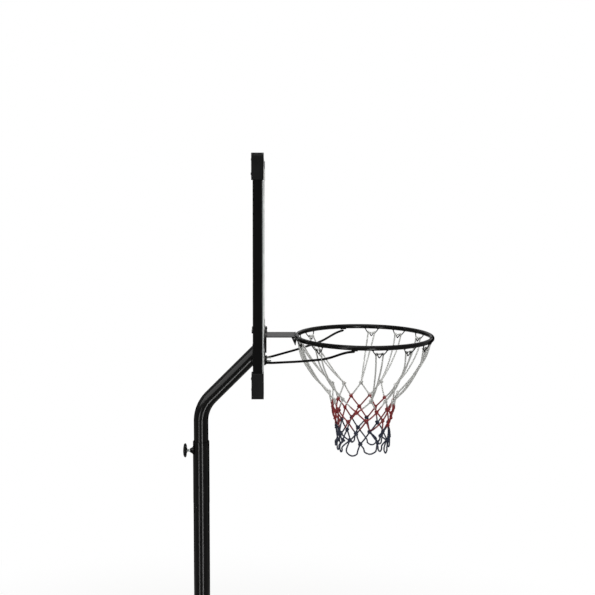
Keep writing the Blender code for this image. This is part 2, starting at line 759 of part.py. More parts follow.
def make_board():
    out = BOARD_HALF_WIDTH - FRAME_EDGE
    low, high = BOARD_BOTTOM_Z + FRAME_EDGE, BOARD_TOP_Z - FRAME_EDGE
    inside = out - FRAME_WIDTH
    back, front = FRAME_BACK_X, FRAME_FRONT_X
    bottom, top = low + FRAME_WIDTH + GAP, high - FRAME_WIDTH - GAP
    bars = []
    for side, sign in (("left", 1), ("right", -1)):
        near, far = sorted((sign * out, sign * inside))
        bars.append(hollow_bar("frame_" + side, (back, near, low), (front, far, high), 2))
        near, far = sign * BOLT_Y - FRAME_WIDTH / 2, sign * BOLT_Y + FRAME_WIDTH / 2
        bars.append(hollow_bar("centre_rail_" + side, (back, near, bottom), (front, far, top), 2))
    reach = inside - GAP
    for side, z in (("bottom", low), ("top", high - FRAME_WIDTH)):
        bars.append(hollow_bar("frame_" + side, (back, -reach, z), (front, reach, z + FRAME_WIDTH), 1))
    sheet = block("backboard_sheet", (SHEET_BACK_X, -out, low), (SHEET_FRONT_X, out, high), CLEAR_SHEET)
    drilled = {
        "centre_rail_left": (0,),
        "centre_rail_right": (1,),
        "frame_bottom": (2, 3),
        "backboard_sheet": (0, 1, 2, 3),
    }
    places = bolt_places()
    for obj in (*bars, sheet):
        for index in drilled.get(obj.name, ()):
            y, z = places[index]
            cut(obj, rod(f"{obj.name}_hole_{index}", (0.15, y, z), (0.25, y, z), BOLT_HOLE_R, sides=12))
    for height, up in (("bottom", 1), ("top", -1)):
        for side, sign in (("left", 1), ("right", -1)):
            make_corner_cap(f"corner_cap_{height}_{side}", sign, up)


def make_corner_cap(name, sign, up):
    """A moulded cap that wraps one corner of the frame and the sheet."""
    y = sign * BOARD_HALF_WIDTH
    z = BOARD_BOTTOM_Z if up > 0 else BOARD_TOP_Z
    corners = (
        (0, 0, CAP_CORNER_R),
        (CAP_REACH, 0, 0.004),
        (CAP_REACH, CAP_WIDTH, 0.004),
        (CAP_WIDTH, CAP_WIDTH, 0.006),
        (CAP_WIDTH, CAP_REACH, 0.004),
        (0, CAP_REACH, 0.004),
    )
    outline = [(-(z + up * b), y - sign * a) for a, b in rounded_outline(corners, arc_steps=4)]
    front = SHEET_FRONT_X + GAP + CAP_LIP
    place = facing((CAP_BACK_X + front) / 2, 0, 0, "X")
    cap = plate(name, outline, front - CAP_BACK_X, MOULDED_BLACK, place)
    inner_y, inner_z = y - sign * CAP_WALL, z + up * CAP_WALL
    far_y, far_z = y - sign * 0.1, z + up * 0.1
    ys, zs = sorted((inner_y, far_y)), sorted((inner_z, far_z))
    back = FRAME_BACK_X - GAP
    hollow = block(name + "_hollow", (back, ys[0], zs[0]), (SHEET_FRONT_X + GAP, ys[1], zs[1]))
    cut(cap, hollow)


def make_rim_bracket():
    front = BACK_PLATE_X + BACK_PLATE_THICK
    top, bottom = RIM_Z + BACK_PLATE_TOP, RIM_Z + BACK_PLATE_BOTTOM
    half = BACK_PLATE_HALF_WIDTH
    corners = ((-top, -half), (-bottom, -half), (-bottom, half), (-top, half))
    outline = rounded_outline([(*corner, BACK_PLATE_CORNER_R) for corner in corners], arc_steps=4)
    place = facing(BACK_PLATE_X + BACK_PLATE_THICK / 2, 0, 0, "X")
    back_plate = plate("rim_back_plate", outline, BACK_PLATE_THICK, STEEL_BLACK, place)
    for index, (y, z) in enumerate(bolt_places()):
        cut(back_plate, rod(f"back_plate_hole_{index}", (0.15, y, z), (0.25, y, z), BOLT_HOLE_R, sides=12))
        seat = front + GAP
        row, side = "upper" if z > RIM_Z else "lower", "left" if y > 0 else "right"
        end = seat + BOLT_REACH[row]
        finish = BOLT_FINISH[row]
        hex_bolt(f"rim_bolt_{row}_{side}", BRACKET_BACK_X - GAP, end, y, z, finish)
        hex_nut(f"rim_nut_{row}_{side}", seat, y, z, finish)
    make_top_plate(front + GAP)
    make_rim_tab()


def make_top_plate(start_x):
    """A plate folded down at the board and hollowed to the rim's curve at its other end."""
    half = TOP_PLATE_HALF_WIDTH
    top = RIM_Z + TOP_PLATE_HEIGHT
    top_plate = block(
        "rim_top_plate",
        (start_x, -half, top - TOP_PLATE_THICK),
        (RIM_CENTRE_X - RIM_RADIUS + 0.02, half, top),
        STEEL_BLACK,
    )
    flange = block(
        "top_plate_flange",
        (start_x, -half, RIM_Z - FLANGE_DROP),
        (start_x + FLANGE_THICK, half, top - 0.001),
    )
    fuse(top_plate, flange)
    reach = RIM_RADIUS + RIM_ROD_R + GAP
    low_end, high_end = (RIM_CENTRE_X, 0, RIM_Z - 0.05), (RIM_CENTRE_X, 0, RIM_Z + 0.05)
    cut(top_plate, rod("rim_curve_cut", low_end, high_end, reach, sides=96))


def make_rim_tab():
    """A small pointed tab under the plate's end, which holds the net's rearmost loop."""
    top = RIM_Z + TOP_PLATE_HEIGHT - TOP_PLATE_THICK - GAP
    shoulder, tip = RIM_Z - RIM_ROD_R - 0.0015, RIM_Z - TAB_DROP
    corners = (
        (TAB_REAR_X, top),
        (TAB_TIP_X - 0.002, tip),
        (TAB_TIP_X, tip),
        (TAB_FRONT_X, shoulder),
        (TAB_STEP_X, shoulder),
        (TAB_STEP_X, top),
    )
    outline = rounded_outline([(*corner, 0.0005) for corner in corners], arc_steps=2)
    place = Matrix.Rotation(math.pi / 2, 4, "X")
    plate("rim_net_tab", outline, TAB_THICK, STEEL_BLACK, place)


def make_rim():
    bpy.ops.mesh.primitive_torus_add(
        major_radius=RIM_RADIUS,
        minor_radius=RIM_ROD_R,
        major_segments=72,
        minor_segments=12,
        location=(RIM_CENTRE_X, 0, RIM_Z),
    )
    rim = bpy.context.object
    rim.name = "rim"
    for collection in list(rim.users_collection):
        collection.objects.unlink(rim)
    PARTS.objects.link(rim)
    rim.data.materials.append(material("rim", *STEEL_BLACK))
    rim.data.shade_smooth()
    for side, sign in (("left", 1), ("right", -1)):
        swept("rim_brace_" + side, brace_path(sign), BRACE_R, STEEL_BLACK, 2)


def brace_path(sign):
    """A rod that rises slowly from the bracket, then swings up under the rim."""
    start, tip = Vector(BRACE_START), Vector(BRACE_TIP)
    shares = [share for share, _ in BRACE_RISE]
    drops = [drop for _, drop in BRACE_RISE]
    points = []
    steps = 18
    for step in range(steps + 1):
        share = step / steps
        x = start.x + BRACE_STUB + (tip.x - start.x - BRACE_STUB) * share
        y = start.y + (tip.y - start.y) * share
        window = np.clip(np.linspace(share - 0.07, share + 0.07, 9), 0.0, 1.0)
        z = float(np.mean(np.interp(window, shares, drops)))
        points.append((x, sign * y, RIM_Z + z))
    return [(start.x, *points[0][1:])] + points


def on_rim(angle, sideways, drop, inward=0.0):
    """A point near the rim, from its angle, its offset along the rim, its drop and its inset."""
    turn = math.radians(angle)
    out = Vector((math.cos(turn), math.sin(turn), 0))
    along = Vector((-math.sin(turn), math.cos(turn), 0))
    centre = Vector((RIM_CENTRE_X, 0, RIM_Z))
    return centre + out * (RIM_RADIUS - inward) + along * sideways - Vector((0, 0, drop))


def hook_inset(drop):
    """How far a point on a leaning hook stands inside the rim's circle."""
    return (drop - HOOK_START_DROP) * HOOK_LEAN


def make_hooks():
    half = (
        (HOOK_LEG_SPREAD, HOOK_START_DROP),
        (HOOK_DIP_SPREAD + 0.002, HOOK_DIP_DROP - 0.002),
        (HOOK_DIP_SPREAD - 0.001, HOOK_DIP_DROP),
        (HOOK_DIP_SPREAD - 0.004, HOOK_DIP_DROP - 0.003),
        (0.0012, HOOK_TIP_DROP),
    )
    shape = [(-x, drop) for x, drop in half] + [(x, drop) for x, drop in reversed(half)]
    for number, angle in enumerate(HOOK_ANGLES, start=1):
        points = [on_rim(angle, x, drop, hook_inset(drop)) for x, drop in shape]
        swept(f"net_hook_{number:02d}", points, HOOK_WIRE_R, STEEL_BLACK, 1)


def net_point(row, column, count, lower=0.0):
    """A knot's place: the rows are shifted by half a column in turn, below the hooks at first."""
    drop, radius = NET_ROWS[row]
    turn = 2 * math.pi * (column + 0.5 * (row % 2)) / count
    return (
        RIM_CENTRE_X + radius * math.cos(turn),
        radius * math.sin(turn),
        RIM_Z - drop - lower,
    )


def make_net():
    """The net: a long loop on each hook, tied off by a knot, and rows of diamonds below."""
    hooks = sorted((*HOOK_ANGLES, TAB_ANGLE))
    count = len(hooks)
    inset = hook_inset(HOOK_DIP_DROP) + HOOK_WIRE_R + NET_STRING / 2 + STRING_BEHIND_HOOK
    bm = bmesh.new()
    for column, angle in enumerate(hooks):
        ends = [on_rim(angle, side * HOOK_DIP_SPREAD, HOOK_DIP_DROP, inset) for side in (-1, 1)]
        bm.faces.new([bm.verts.new(place) for place in (*ends, net_point(0, column, count, -KNOT_HALF))])
    rows = []
    for row in range(len(NET_ROWS)):
        lower = KNOT_HALF if row == 0 else 0.0
        rows.append([bm.verts.new(net_point(row, column, count, lower)) for column in range(count)])
    for row in range(len(rows) - 2):
        for column in range(count):
            after = (column + row % 2) % count
            before = (after - 1) % count
            left, right = rows[row + 1][before], rows[row + 1][after]
            bm.faces.new((rows[row][column], left, rows[row + 2][column], right))
    net = object_of("net", mesh_of(bm, "net"), PARTS, NET_WHITE, smooth=False)
    strings = net.modifiers.new("Strings", "WIREFRAME")
    strings.thickness = NET_STRING
    strings.use_boundary = True
    strings.use_even_offset = False
    bm = bmesh.new()
    for column in range(count):
        place = Matrix.Translation(net_point(0, column, count))
        bmesh.ops.create_icosphere(bm, subdivisions=1, radius=KNOT_R, matrix=place)
    fuse(net, object_of("net_knots", mesh_of(bm, "net_knots"), CUTTERS))


def main():
    make_tank()
    make_filler_cap()
    make_wheels()
    make_poles()
    make_struts()
    make_clamp()
    make_mast()
    make_board()
    make_rim_bracket()
    make_rim()
    make_hooks()
    make_net()


main()
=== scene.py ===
# %% [markdown]
# # A height-adjustable basketball stand
#
# A bent steel mast slides in an outer pole and carries a clear backboard with a rim and a net.
# A ballast tank with two wheels holds the pole upright.
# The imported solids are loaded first. They fix every size and every joint, and each cell below
# puts a finer piece where its solid is.

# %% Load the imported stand
import contextlib
import json
import math
import random

import bmesh
import bpy
from mathutils import Matrix, Vector


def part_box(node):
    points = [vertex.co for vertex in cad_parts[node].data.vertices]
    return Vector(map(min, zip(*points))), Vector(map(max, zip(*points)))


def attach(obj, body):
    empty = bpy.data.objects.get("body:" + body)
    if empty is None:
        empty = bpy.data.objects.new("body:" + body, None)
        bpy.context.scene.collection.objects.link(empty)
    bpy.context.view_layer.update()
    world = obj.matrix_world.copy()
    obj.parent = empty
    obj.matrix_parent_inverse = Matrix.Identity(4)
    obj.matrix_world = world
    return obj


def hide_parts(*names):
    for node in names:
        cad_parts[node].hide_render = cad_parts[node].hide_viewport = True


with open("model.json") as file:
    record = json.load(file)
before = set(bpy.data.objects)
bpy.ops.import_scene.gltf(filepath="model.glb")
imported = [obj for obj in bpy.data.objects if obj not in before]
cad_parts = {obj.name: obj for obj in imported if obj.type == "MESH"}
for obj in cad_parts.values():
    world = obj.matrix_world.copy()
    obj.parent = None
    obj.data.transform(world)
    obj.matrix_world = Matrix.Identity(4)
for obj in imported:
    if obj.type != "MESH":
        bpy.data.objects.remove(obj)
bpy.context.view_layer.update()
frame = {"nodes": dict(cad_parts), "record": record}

# %% [markdown]
# The camera stands 3.2 m beside the stand, as high as the upper part of the board, and looks 5
# degrees down at it. The board isn't in the picture's middle. The lens is shifted for that,
# because turning the camera further would make the upright edges lean.

# %% Camera
CAMERA_PLACE = (0.2336, -3.1686, 3.0949)
CAMERA_PITCH = math.radians(5.0)
LENS_MM = 55.94
SHIFT = (0.0497, -0.0543)

bpy.ops.object.camera_add(location=CAMERA_PLACE, rotation=(math.radians(90) - CAMERA_PITCH, 0, 0))
camera = bpy.context.object
camera.data.lens = LENS_MM
camera.data.shift_x, camera.data.shift_y = SHIFT
bpy.context.scene.camera = camera
bpy.context.scene.view_settings.view_transform = "Standard"
print("camera:", tuple(camera.location), "lens", camera.data.lens)

# %% [markdown]
# Colours are written as sRGB hex values, the way that a paint chart gives them. The shaders
# work with linear light, so one function turns each value over.
# One more function adds a node with its settings and its links, and a third starts a material
# with a Principled shader whose constants sit on its own sockets.

# %% Colours, nodes and materials
def linear(code):
    """A linear colour from an sRGB hex value such as #1a1918."""
    channels = [int(code[i : i + 2], 16) / 255 for i in (1, 3, 5)]
    return (*[c / 12.92 if c <= 0.04045 else ((c + 0.055) / 1.055) ** 2.4 for c in channels], 1.0)


def add_node(tree, kind, inputs=(), **settings):
    """Adds a node; inputs are pairs of a socket and a value, or the output that feeds it."""
    node = tree.nodes.new(kind)
    for name, value in settings.items():
        setattr(node, name, value)
    for socket, value in inputs:
        if isinstance(value, bpy.types.NodeSocket):
            tree.links.new(value, node.inputs[socket])
        else:
            node.inputs[socket].default_value = value
    return node


def start_material(name, **constants):
    """A new material, its node tree and its Principled shader with these constants."""
    made = bpy.data.materials.new(name)
    made.use_nodes = True
    tree = made.node_tree
    shader = tree.nodes["Principled BSDF"]
    for socket, value in constants.items():
        shader.inputs[socket.replace("_", " ")].default_value = value
    return made, tree, shader


# %% [markdown]
# The room is a plain white studio. The floor near the stand is matt and takes its shadow, and
# further out it fades into the white of the backdrop. The world shows white to the camera, to
# reflections and through clear parts, and lights matt surfaces more softly.
# A large lamp overhead gives the soft light. Two tall narrow strips on the camera's side draw
# the long thin highlights down the mast, and a panel high on the left draws the broad soft one
# on the slanted tube. These three only show in gloss, so they don't light the net or the floor.

# %% Studio
WHITE = (1.0, 1.0, 1.0, 1.0)
WORLD_FILL = 0.70
FLOOR_RADIUS = 40.0
FLOOR_FADE = (1.4, 4.6)


def sees_background(tree):
    """1 for rays from the camera, from reflections and through clear parts, and 0 for others."""
    path = add_node(tree, "ShaderNodeLightPath")
    seen = path.outputs["Is Camera Ray"]
    for ray in ("Is Glossy Ray", "Is Transmission Ray"):
        either = add_node(tree, "ShaderNodeMath", [(0, seen), (1, path.outputs[ray])], operation="MAXIMUM")
        seen = either.outputs[0]
    return seen


world = bpy.data.worlds.new("white_studio")
bpy.context.scene.world = world
world.use_nodes = True
strength = add_node(
    world.node_tree,
    "ShaderNodeMapRange",
    [("Value", sees_background(world.node_tree)), ("To Min", WORLD_FILL), ("To Max", 1.0)],
)
backdrop = world.node_tree.nodes["Background"]
backdrop.inputs["Color"].default_value = WHITE
world.node_tree.links.new(strength.outputs[0], backdrop.inputs["Strength"])

bpy.ops.mesh.primitive_circle_add(vertices=96, radius=FLOOR_RADIUS, fill_type="NGON")
floor = bpy.context.object
floor.name = "studio_floor"
floor_paint, tree, shader = start_material("matt_white_studio_floor", Roughness=0.9, Specular_IOR_Level=0.0)
shader.inputs["Base Color"].default_value = linear("#f4f4f2")
place = add_node(tree, "ShaderNodeTexCoord").outputs["Object"]
distance = add_node(tree, "ShaderNodeVectorMath", [(0, place)], operation="LENGTH").outputs["Value"]
fade = add_node(
    tree,
    "ShaderNodeMapRange",
    [("Value", distance), ("From Min", FLOOR_FADE[0]), ("From Max", FLOOR_FADE[1])],
    interpolation_type="SMOOTHSTEP",
)
share = add_node(
    tree, "ShaderNodeMath", [(0, fade.outputs[0]), (1, sees_background(tree))], operation="MULTIPLY"
)
white = add_node(tree, "ShaderNodeEmission", [("Color", WHITE), ("Strength", 1.0)])
mixed = add_node(
    tree, "ShaderNodeMixShader", [(0, share.outputs[0]), (1, shader.outputs[0]), (2, white.outputs[0])]
)
tree.links.new(mixed.outputs[0], tree.nodes["Material Output"].inputs["Surface"])
floor.data.materials.append(floor_paint)

# %% [markdown]
# An area lamp's power is its radiance times pi times its area. Each lamp is given the radiance,
# because that is what a reflection of it shows, however large it is.

# %% Lamps
def softbox(name, place, target, size, radiance, matt=False):
    """A rectangular lamp that faces a point.

    radiance is how bright its face looks, and matt says whether it also lights matt surfaces.
    """
    bpy.ops.object.light_add(type="AREA", location=place)
    lamp = bpy.context.object
    lamp.name = name
    lamp.rotation_euler = (Vector(target) - Vector(place)).to_track_quat("-Z", "Y").to_euler()
    lamp.data.shape = "RECTANGLE"
    lamp.data.size, lamp.data.size_y = size
    lamp.data.energy = radiance * math.pi * size[0] * size[1]
    lamp.visible_camera = False
    lamp.visible_diffuse = lamp.visible_transmission = matt


STRIP_DISTANCE = 2.5
STRIP_Z = 1.10
STRIP_HEIGHT = 1.9
# Each strip's name, its bearing in degrees, its width and its radiance.
STRIPS = (
    ("strip_left", -29.1, 0.45, 26.0),
    ("strip_right", 20.7, 0.40, 48.0),
)
for name, bearing, width, radiance in STRIPS:
    turn = math.radians(bearing)
    place = (STRIP_DISTANCE * math.sin(turn), -STRIP_DISTANCE * math.cos(turn), STRIP_Z)
    softbox(name, place, (0, 0, STRIP_Z), (width, STRIP_HEIGHT), radiance)
softbox("high_panel", place=(-1.24, -1.10, 3.74), target=(0.1, 0, 2.4), size=(2.4, 2.4), radiance=12.5)
softbox("overhead", place=(0.6, -1.2, 6.0), target=(0, 0, 1.5), size=(3.2, 3.2), radiance=4.5, matt=True)

# %% [markdown]
# White surroundings put a pale rim on every black tube, because a smooth surface reflects more
# at a low angle. The photograph's tubes are dark right up to their edges. A photographer gets
# this with black cards behind the product, out of the picture. Here they are planes that only
# reflections see. A grey card does the same for the front of the clear sheet.

# %% Cards behind the stand
CARD_DISTANCE = 3.6
DARK_CARD = "#1c1c1c"
GREY_CARD = "#b8b8b8"
# Each card's name, its bearing in degrees, its width, its lower and upper edge, and its tone.
CARDS = (
    ("black_card_left", -32, 4.4, 0.0, 3.4, DARK_CARD),
    ("black_card_right", 41, 3.4, 0.0, 3.4, DARK_CARD),
    ("black_card_low", 7, 1.1, 0.0, 1.5, DARK_CARD),
    ("grey_card_board", 7, 0.8, 1.5, 3.6, GREY_CARD),
)


def card(name, bearing, width, low, high, tone):
    """A plane behind the stand that only reflections see."""
    turn = math.radians(bearing)
    middle = Vector((CARD_DISTANCE * math.sin(turn), CARD_DISTANCE * math.cos(turn), (low + high) / 2))
    bpy.ops.mesh.primitive_plane_add(size=1.0, location=middle, rotation=(math.radians(90), 0, -turn))
    plane = bpy.context.object
    plane.name = name
    plane.scale = (width, high - low, 1)
    paint, tree, shader = start_material(f"matt_{name}", Roughness=0.9, Specular_IOR_Level=0.0)
    shader.inputs["Base Color"].default_value = linear("#000000")
    shader.inputs["Emission Color"].default_value = linear(tone)
    shader.inputs["Emission Strength"].default_value = 1.0
    plane.data.materials.append(paint)
    plane.visible_camera = plane.visible_diffuse = plane.visible_transmission = plane.visible_shadow = False


for values in CARDS:
    card(*values)
print("cards:", [name for name, *_ in CARDS])

# %% [markdown]
# No real finish is quite even. Every material here drifts a little between two tones and
# between two values of roughness, over patches whose width is given in millimetres. A finer
# pattern raises the surface a little, through bump. All patterns are fixed to the piece.

# %% Uneven finishes
NOISE_LOW, NOISE_HIGH = 0.3, 0.7


def drifting(tree, size_mm, detail, low=0.0, high=1.0):
    """A value that drifts from low to high and back, over patches of about this width."""
    place = add_node(tree, "ShaderNodeTexCoord").outputs["Object"]
    inputs = [("Vector", place), ("Scale", 1000.0 / size_mm), ("Detail", detail)]
    noise = add_node(tree, "ShaderNodeTexNoise", inputs)
    limits = [("From Min", NOISE_LOW), ("From Max", NOISE_HIGH), ("To Min", low), ("To Max", high)]
    return add_node(tree, "ShaderNodeMapRange", [("Value", noise.outputs["Fac"]), *limits]).outputs[0]


def roughened(tree, shader, rough, grain=None):
    """Sets a drifting roughness, and raises a grain given by its width, detail and depth."""
    tree.links.new(drifting(tree, *rough), shader.inputs["Roughness"])
    if grain:
        size_mm, detail, depth_mm = grain
        place = add_node(tree, "ShaderNodeTexCoord").outputs["Object"]
        inputs = [("Vector", place), ("Scale", 1000.0 / size_mm), ("Detail", detail)]
        height = add_node(tree, "ShaderNodeTexNoise", inputs).outputs["Fac"]
        raised = add_node(tree, "ShaderNodeBump", [("Height", height), ("Distance", depth_mm / 1000)])
        tree.links.new(raised.outputs[0], shader.inputs["Normal"])


def uneven(name, dark, light, patches, rough, grain=None, metallic=0.0, **constants):
    """A material that drifts between two tones, with its roughness and grain."""
    made, tree, shader = start_material(name, Metallic=metallic, **constants)
    tone = add_node(tree, "ShaderNodeValToRGB", [("Fac", drifting(tree, *patches))])
    for element, code in zip(tone.color_ramp.elements, (dark, light)):
        element.color = linear(code)
    tree.links.new(tone.outputs["Color"], shader.inputs["Base Color"])
    roughened(tree, shader, rough, grain)
    print("material:", name)
    return made


# %% [markdown]
# The mast, the poles, the frame and the rim are steel with a black powder coat. The powder is
# sprayed on dry and baked, which leaves a satin skin with a faint orange-peel ripple. The real
# ripple is 2 or 3 mm wide, which is less than a pixel here, so it is drawn 14 mm wide and very
# shallow. The board's frame gets a darker copy of the same coat, which is painted shade: its flat
# bars look darker in the light than the round tubes.

# %% Black powder-coated steel
COAT = dict(patches=(90, 3.0), rough=(45, 3.0, 0.13, 0.19), grain=(14, 1.0, 0.014), Specular_IOR_Level=0.05)
black_coat = uneven("powder_coated_steel_black", "#080808", "#0e0d0c", **COAT)
# The frame's coat is the tubes' coat painted darker, as painted shade on its flat bars.
frame_coat_painted_shade = uneven("powder_coated_steel_black_painted_shade", "#040404", "#070707", **COAT)

# %% [markdown]
# Bolts, the axle and the clamp's thread are steel with a bright zinc plating. It is a real metal
# surface, slightly milky, and cloudy from the plating bath. The rim's upper bolts and its nuts
# are plated too, in a darker copy of the same plating. The crystals of the zinc are far too fine
# to show, so the grain is drawn 3 mm wide.

# %% Zinc-plated steel
PLATING = dict(patches=(9, 3.0), rough=(4, 2.0, 0.28, 0.44), grain=(3, 2.0, 0.02), metallic=1.0)
zinc = uneven("zinc_plated_steel", "#7c7f7e", "#a3a5a2", **PLATING)
# A darker copy of the same plating, for the rim's upper bolts, the rim's nuts and the cap screws.
dark_zinc = uneven("black_zinc_plated_steel", "#141414", "#242423", **PLATING)

# %% [markdown]
# The corner caps, the knob and the filler cap are injection-moulded polypropylene. The mould is
# spark-eroded, so the skin has an even fine grain. The tank is blow-moulded polyethylene, whose
# grain is coarser and softer, and which scuffs to a slightly greyer black. The wheels are given
# the same plastic. Real grains are a few tenths of a millimetre wide, and here they are drawn
# 3 and 4 mm wide, so that they show.

# %% Moulded plastics
PLASTIC = dict(patches=(70, 4.0), IOR=1.49)
polypropylene = uneven(
    "moulded_polypropylene_black",
    "#0c0c0c",
    "#121212",
    rough=(30, 3.0, 0.40, 0.52),
    grain=(3.0, 2.0, 0.05),
    Specular_IOR_Level=0.03,
    **PLASTIC,
)
polyethylene = uneven(
    "blow_moulded_polyethylene_black",
    "#151516",
    "#1e1e1f",
    rough=(30, 3.0, 0.46, 0.56),
    grain=(4.0, 2.0, 0.10),
    Specular_IOR_Level=0.10,
    **PLASTIC,
)

# %% [markdown]
# The board is a sheet of clear polycarbonate, 3 mm thick. It is almost invisible from the front
# and bright where it is seen along its face, because a smooth surface reflects more at a low
# angle. Its sawn edges are frosted and look greyish, because little light gets out there. Saw
# marks are finer than the 2 mm that they are drawn here. The lines on the board are white screen
# ink, printed on the front.

# %% Clear polycarbonate and screen ink
clear_sheet = uneven(
    "extruded_polycarbonate_clear",
    "#eaf1f1",
    "#f4f8f8",
    patches=(240, 2.0),
    rough=(60, 4.0, 0.02, 0.07),
    Transmission_Weight=1.0,
    IOR=1.58,
)
sawn_edge = uneven(
    "sawn_polycarbonate_edge_frosted",
    "#4f5453",
    "#6a6f6e",
    patches=(6, 3.0),
    rough=(4, 2.0, 0.55, 0.75),
    grain=(2, 2.0, 0.03),
    IOR=1.58,
)
white_ink = uneven(
    "screen_printed_ink_white",
    "#dededb",
    "#e5e5e2",
    patches=(14, 3.0),
    rough=(5, 2.0, 0.42, 0.55),
    grain=(0.8, 2.0, 0.01),
    IOR=1.50,
)

# %% [markdown]
# The net is laid nylon cord, white at the top, red in the middle and navy at the bottom. The
# cord is dyed in three lengths before it is knotted, so the colour changes at a height on the
# net, with a short blur where the dye crept along the strands.

# %% Dyed nylon cord
RIM_Z = 2.570
NET_BOTTOM_DROP = 0.420
RED_DROP = 0.226
NAVY_DROP = 0.303
DYE_CREEP = 0.004
DYE_BLUR = 0.012

net_cord, tree, shader = start_material(
    "laid_nylon_cord_dyed", Metallic=0.0, Specular_IOR_Level=0.20, Sheen_Weight=0.05, Sheen_Roughness=0.5
)
place = add_node(tree, "ShaderNodeTexCoord").outputs["Object"]
height = add_node(tree, "ShaderNodeSeparateXYZ", [(0, place)]).outputs["Z"]
creep = drifting(tree, 12, 3.0, -DYE_CREEP, DYE_CREEP)
wavering = add_node(tree, "ShaderNodeMath", [(0, height), (1, creep)], operation="ADD").outputs[0]
limits = [("From Min", RIM_Z - NET_BOTTOM_DROP), ("From Max", RIM_Z)]
share = add_node(tree, "ShaderNodeMapRange", [("Value", wavering), *limits])
navy_end = 1 - NAVY_DROP / NET_BOTTOM_DROP
red_end = 1 - RED_DROP / NET_BOTTOM_DROP
tone = add_node(tree, "ShaderNodeValToRGB", [("Fac", share.outputs[0])])
stops = tone.color_ramp.elements
while len(stops) < 4:
    stops.new(1.0)
for stop, position, code in (
    (stops[0], navy_end - DYE_BLUR, "#0e182f"),
    (stops[1], navy_end + DYE_BLUR, "#761416"),
    (stops[2], red_end - DYE_BLUR, "#7c1c1e"),
    (stops[3], red_end + DYE_BLUR, "#b2b2af"),
):
    stop.position = position
    stop.color = linear(code)
tree.links.new(tone.outputs["Color"], shader.inputs["Base Color"])
roughened(tree, shader, rough=(3, 2.0, 0.62, 0.85), grain=(0.7, 2.0, 0.05))
print("material:", net_cord.name)

# %% [markdown]
# Every piece below starts as a primitive, a curve or a copy of its solid, is shaped in edit mode
# or by modifiers, and is then finished in the same way: its place is applied, its edges are
# shaded by their angle, and it is tied to the body that it moves with.

# %% Helpers for modelling
BODIES = frame["record"]["behaviour"]["bodies"]
BODY_OF = {node: body for body, nodes in BODIES.items() for node in nodes}


def only(*pieces):
    """Selects these pieces alone; the first one becomes the active one."""
    bpy.ops.object.select_all(action="DESELECT")
    for piece in pieces:
        piece.select_set(True)
    bpy.context.view_layer.objects.active = pieces[0]


@contextlib.contextmanager
def editing(piece):
    """Edit mode on one piece, with all of it selected at first."""
    only(piece)
    bpy.ops.object.mode_set(mode="EDIT")
    bpy.ops.mesh.select_all(action="SELECT")
    yield
    bpy.ops.object.mode_set(mode="OBJECT")


def added(operator, **settings):
    """The primitive that an operator adds while nothing else is selected."""
    bpy.ops.object.select_all(action="DESELECT")
    operator(**settings)
    return bpy.context.object


def new_object(name, data):
    """An object in the scene for this mesh or curve."""
    made = bpy.data.objects.new(name, data)
    bpy.context.scene.collection.objects.link(made)
    return made


def posed(place, degrees=0.0, axis="Z"):
    """The matrix that turns a piece about an axis and then moves it to a place."""
    return Matrix.Translation(place) @ Matrix.Rotation(math.radians(degrees), 4, axis)


def choose(piece, kind, test):
    """In edit mode, selects the faces or the points that pass the test."""
    bpy.ops.mesh.select_mode(type=kind)
    bpy.ops.mesh.select_all(action="DESELECT")
    bm = bmesh.from_edit_mesh(piece.data)
    for part in bm.verts if kind == "VERT" else bm.faces:
        if test(part):
            part.select_set(True)
    bm.select_flush_mode()
    bmesh.update_edit_mesh(piece.data)


def modified(piece, kind, **settings):
    """Adds a modifier with these settings and applies it."""
    modifier = piece.modifiers.new(kind.title(), kind)
    for name, value in settings.items():
        setattr(modifier, name, value)
    only(piece)
    bpy.ops.object.modifier_apply(modifier=modifier.name)
    return piece


def placed(piece, matrix=Matrix.Identity(4)):
    """Moves a piece by a matrix and applies its place to its mesh."""
    piece.matrix_world = matrix @ piece.matrix_world
    only(piece)
    bpy.ops.object.transform_apply(location=True, rotation=True, scale=True)
    return piece


def merged(piece, distance=0.00001):
    """Merges double points and turns the faces outwards."""
    with editing(piece):
        bpy.ops.mesh.remove_doubles(threshold=distance)
        bpy.ops.mesh.normals_make_consistent(inside=False)
    return piece


def rounded_edges(piece, round_mm, segments=3, limit=50):
    """Bevels the edges that are sharper than a limit in degrees."""
    settings = dict(segments=segments, limit_method="ANGLE", angle_limit=math.radians(limit))
    return modified(piece, "BEVEL", width=round_mm / 1000, **settings)


def joined(*pieces):
    """One piece out of several."""
    only(*pieces)
    bpy.ops.object.join()
    return pieces[0]


def combined(piece, other, operation):
    """Joins, cuts or intersects a piece with another, which is used up."""
    modified(piece, "BOOLEAN", object=other, operation=operation, solver="EXACT")
    bpy.data.objects.remove(other, do_unlink=True)
    return piece


def duplicate(piece, matrix=Matrix.Identity(4)):
    """A copy with its own mesh, moved by a matrix."""
    return placed(new_object(piece.name, piece.data.copy()), matrix)


def finish(piece, name, paint, slot, body, *nodes, angle=35):
    """Names a piece, paints it, ties it to its body, and hides the nodes that it replaces."""
    placed(piece)
    if angle:
        bpy.ops.object.shade_smooth_by_angle(angle=math.radians(angle))
        modified(piece, "WEIGHTED_NORMAL", keep_sharp=True)
    piece.name = piece.data.name = name
    piece.data.materials.clear()
    piece.data.materials.append(paint)
    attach(piece, body)
    if nodes:
        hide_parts(*nodes)
    low, high = [[round(f(v.co[i] for v in piece.data.vertices), 3) for i in range(3)] for f in (min, max)]
    print(f"{name}: {len(piece.data.polygons)} faces, {low} to {high}")
    return piece


def coated(piece, name, node, angle=35):
    """Finishes a black steel piece in the place of its solid."""
    return finish(piece, name, black_coat, "black_steel", BODY_OF[node], node, angle=angle)


# %% [markdown]
# Flat and folded steel parts, bolts and moulded caps already have their shape in the solids.
# What they lack is the small round on every edge that catches the light. A copy of the solid is
# merged into one skin, its flat triangles are dissolved into whole faces, and its edges are
# bevelled.

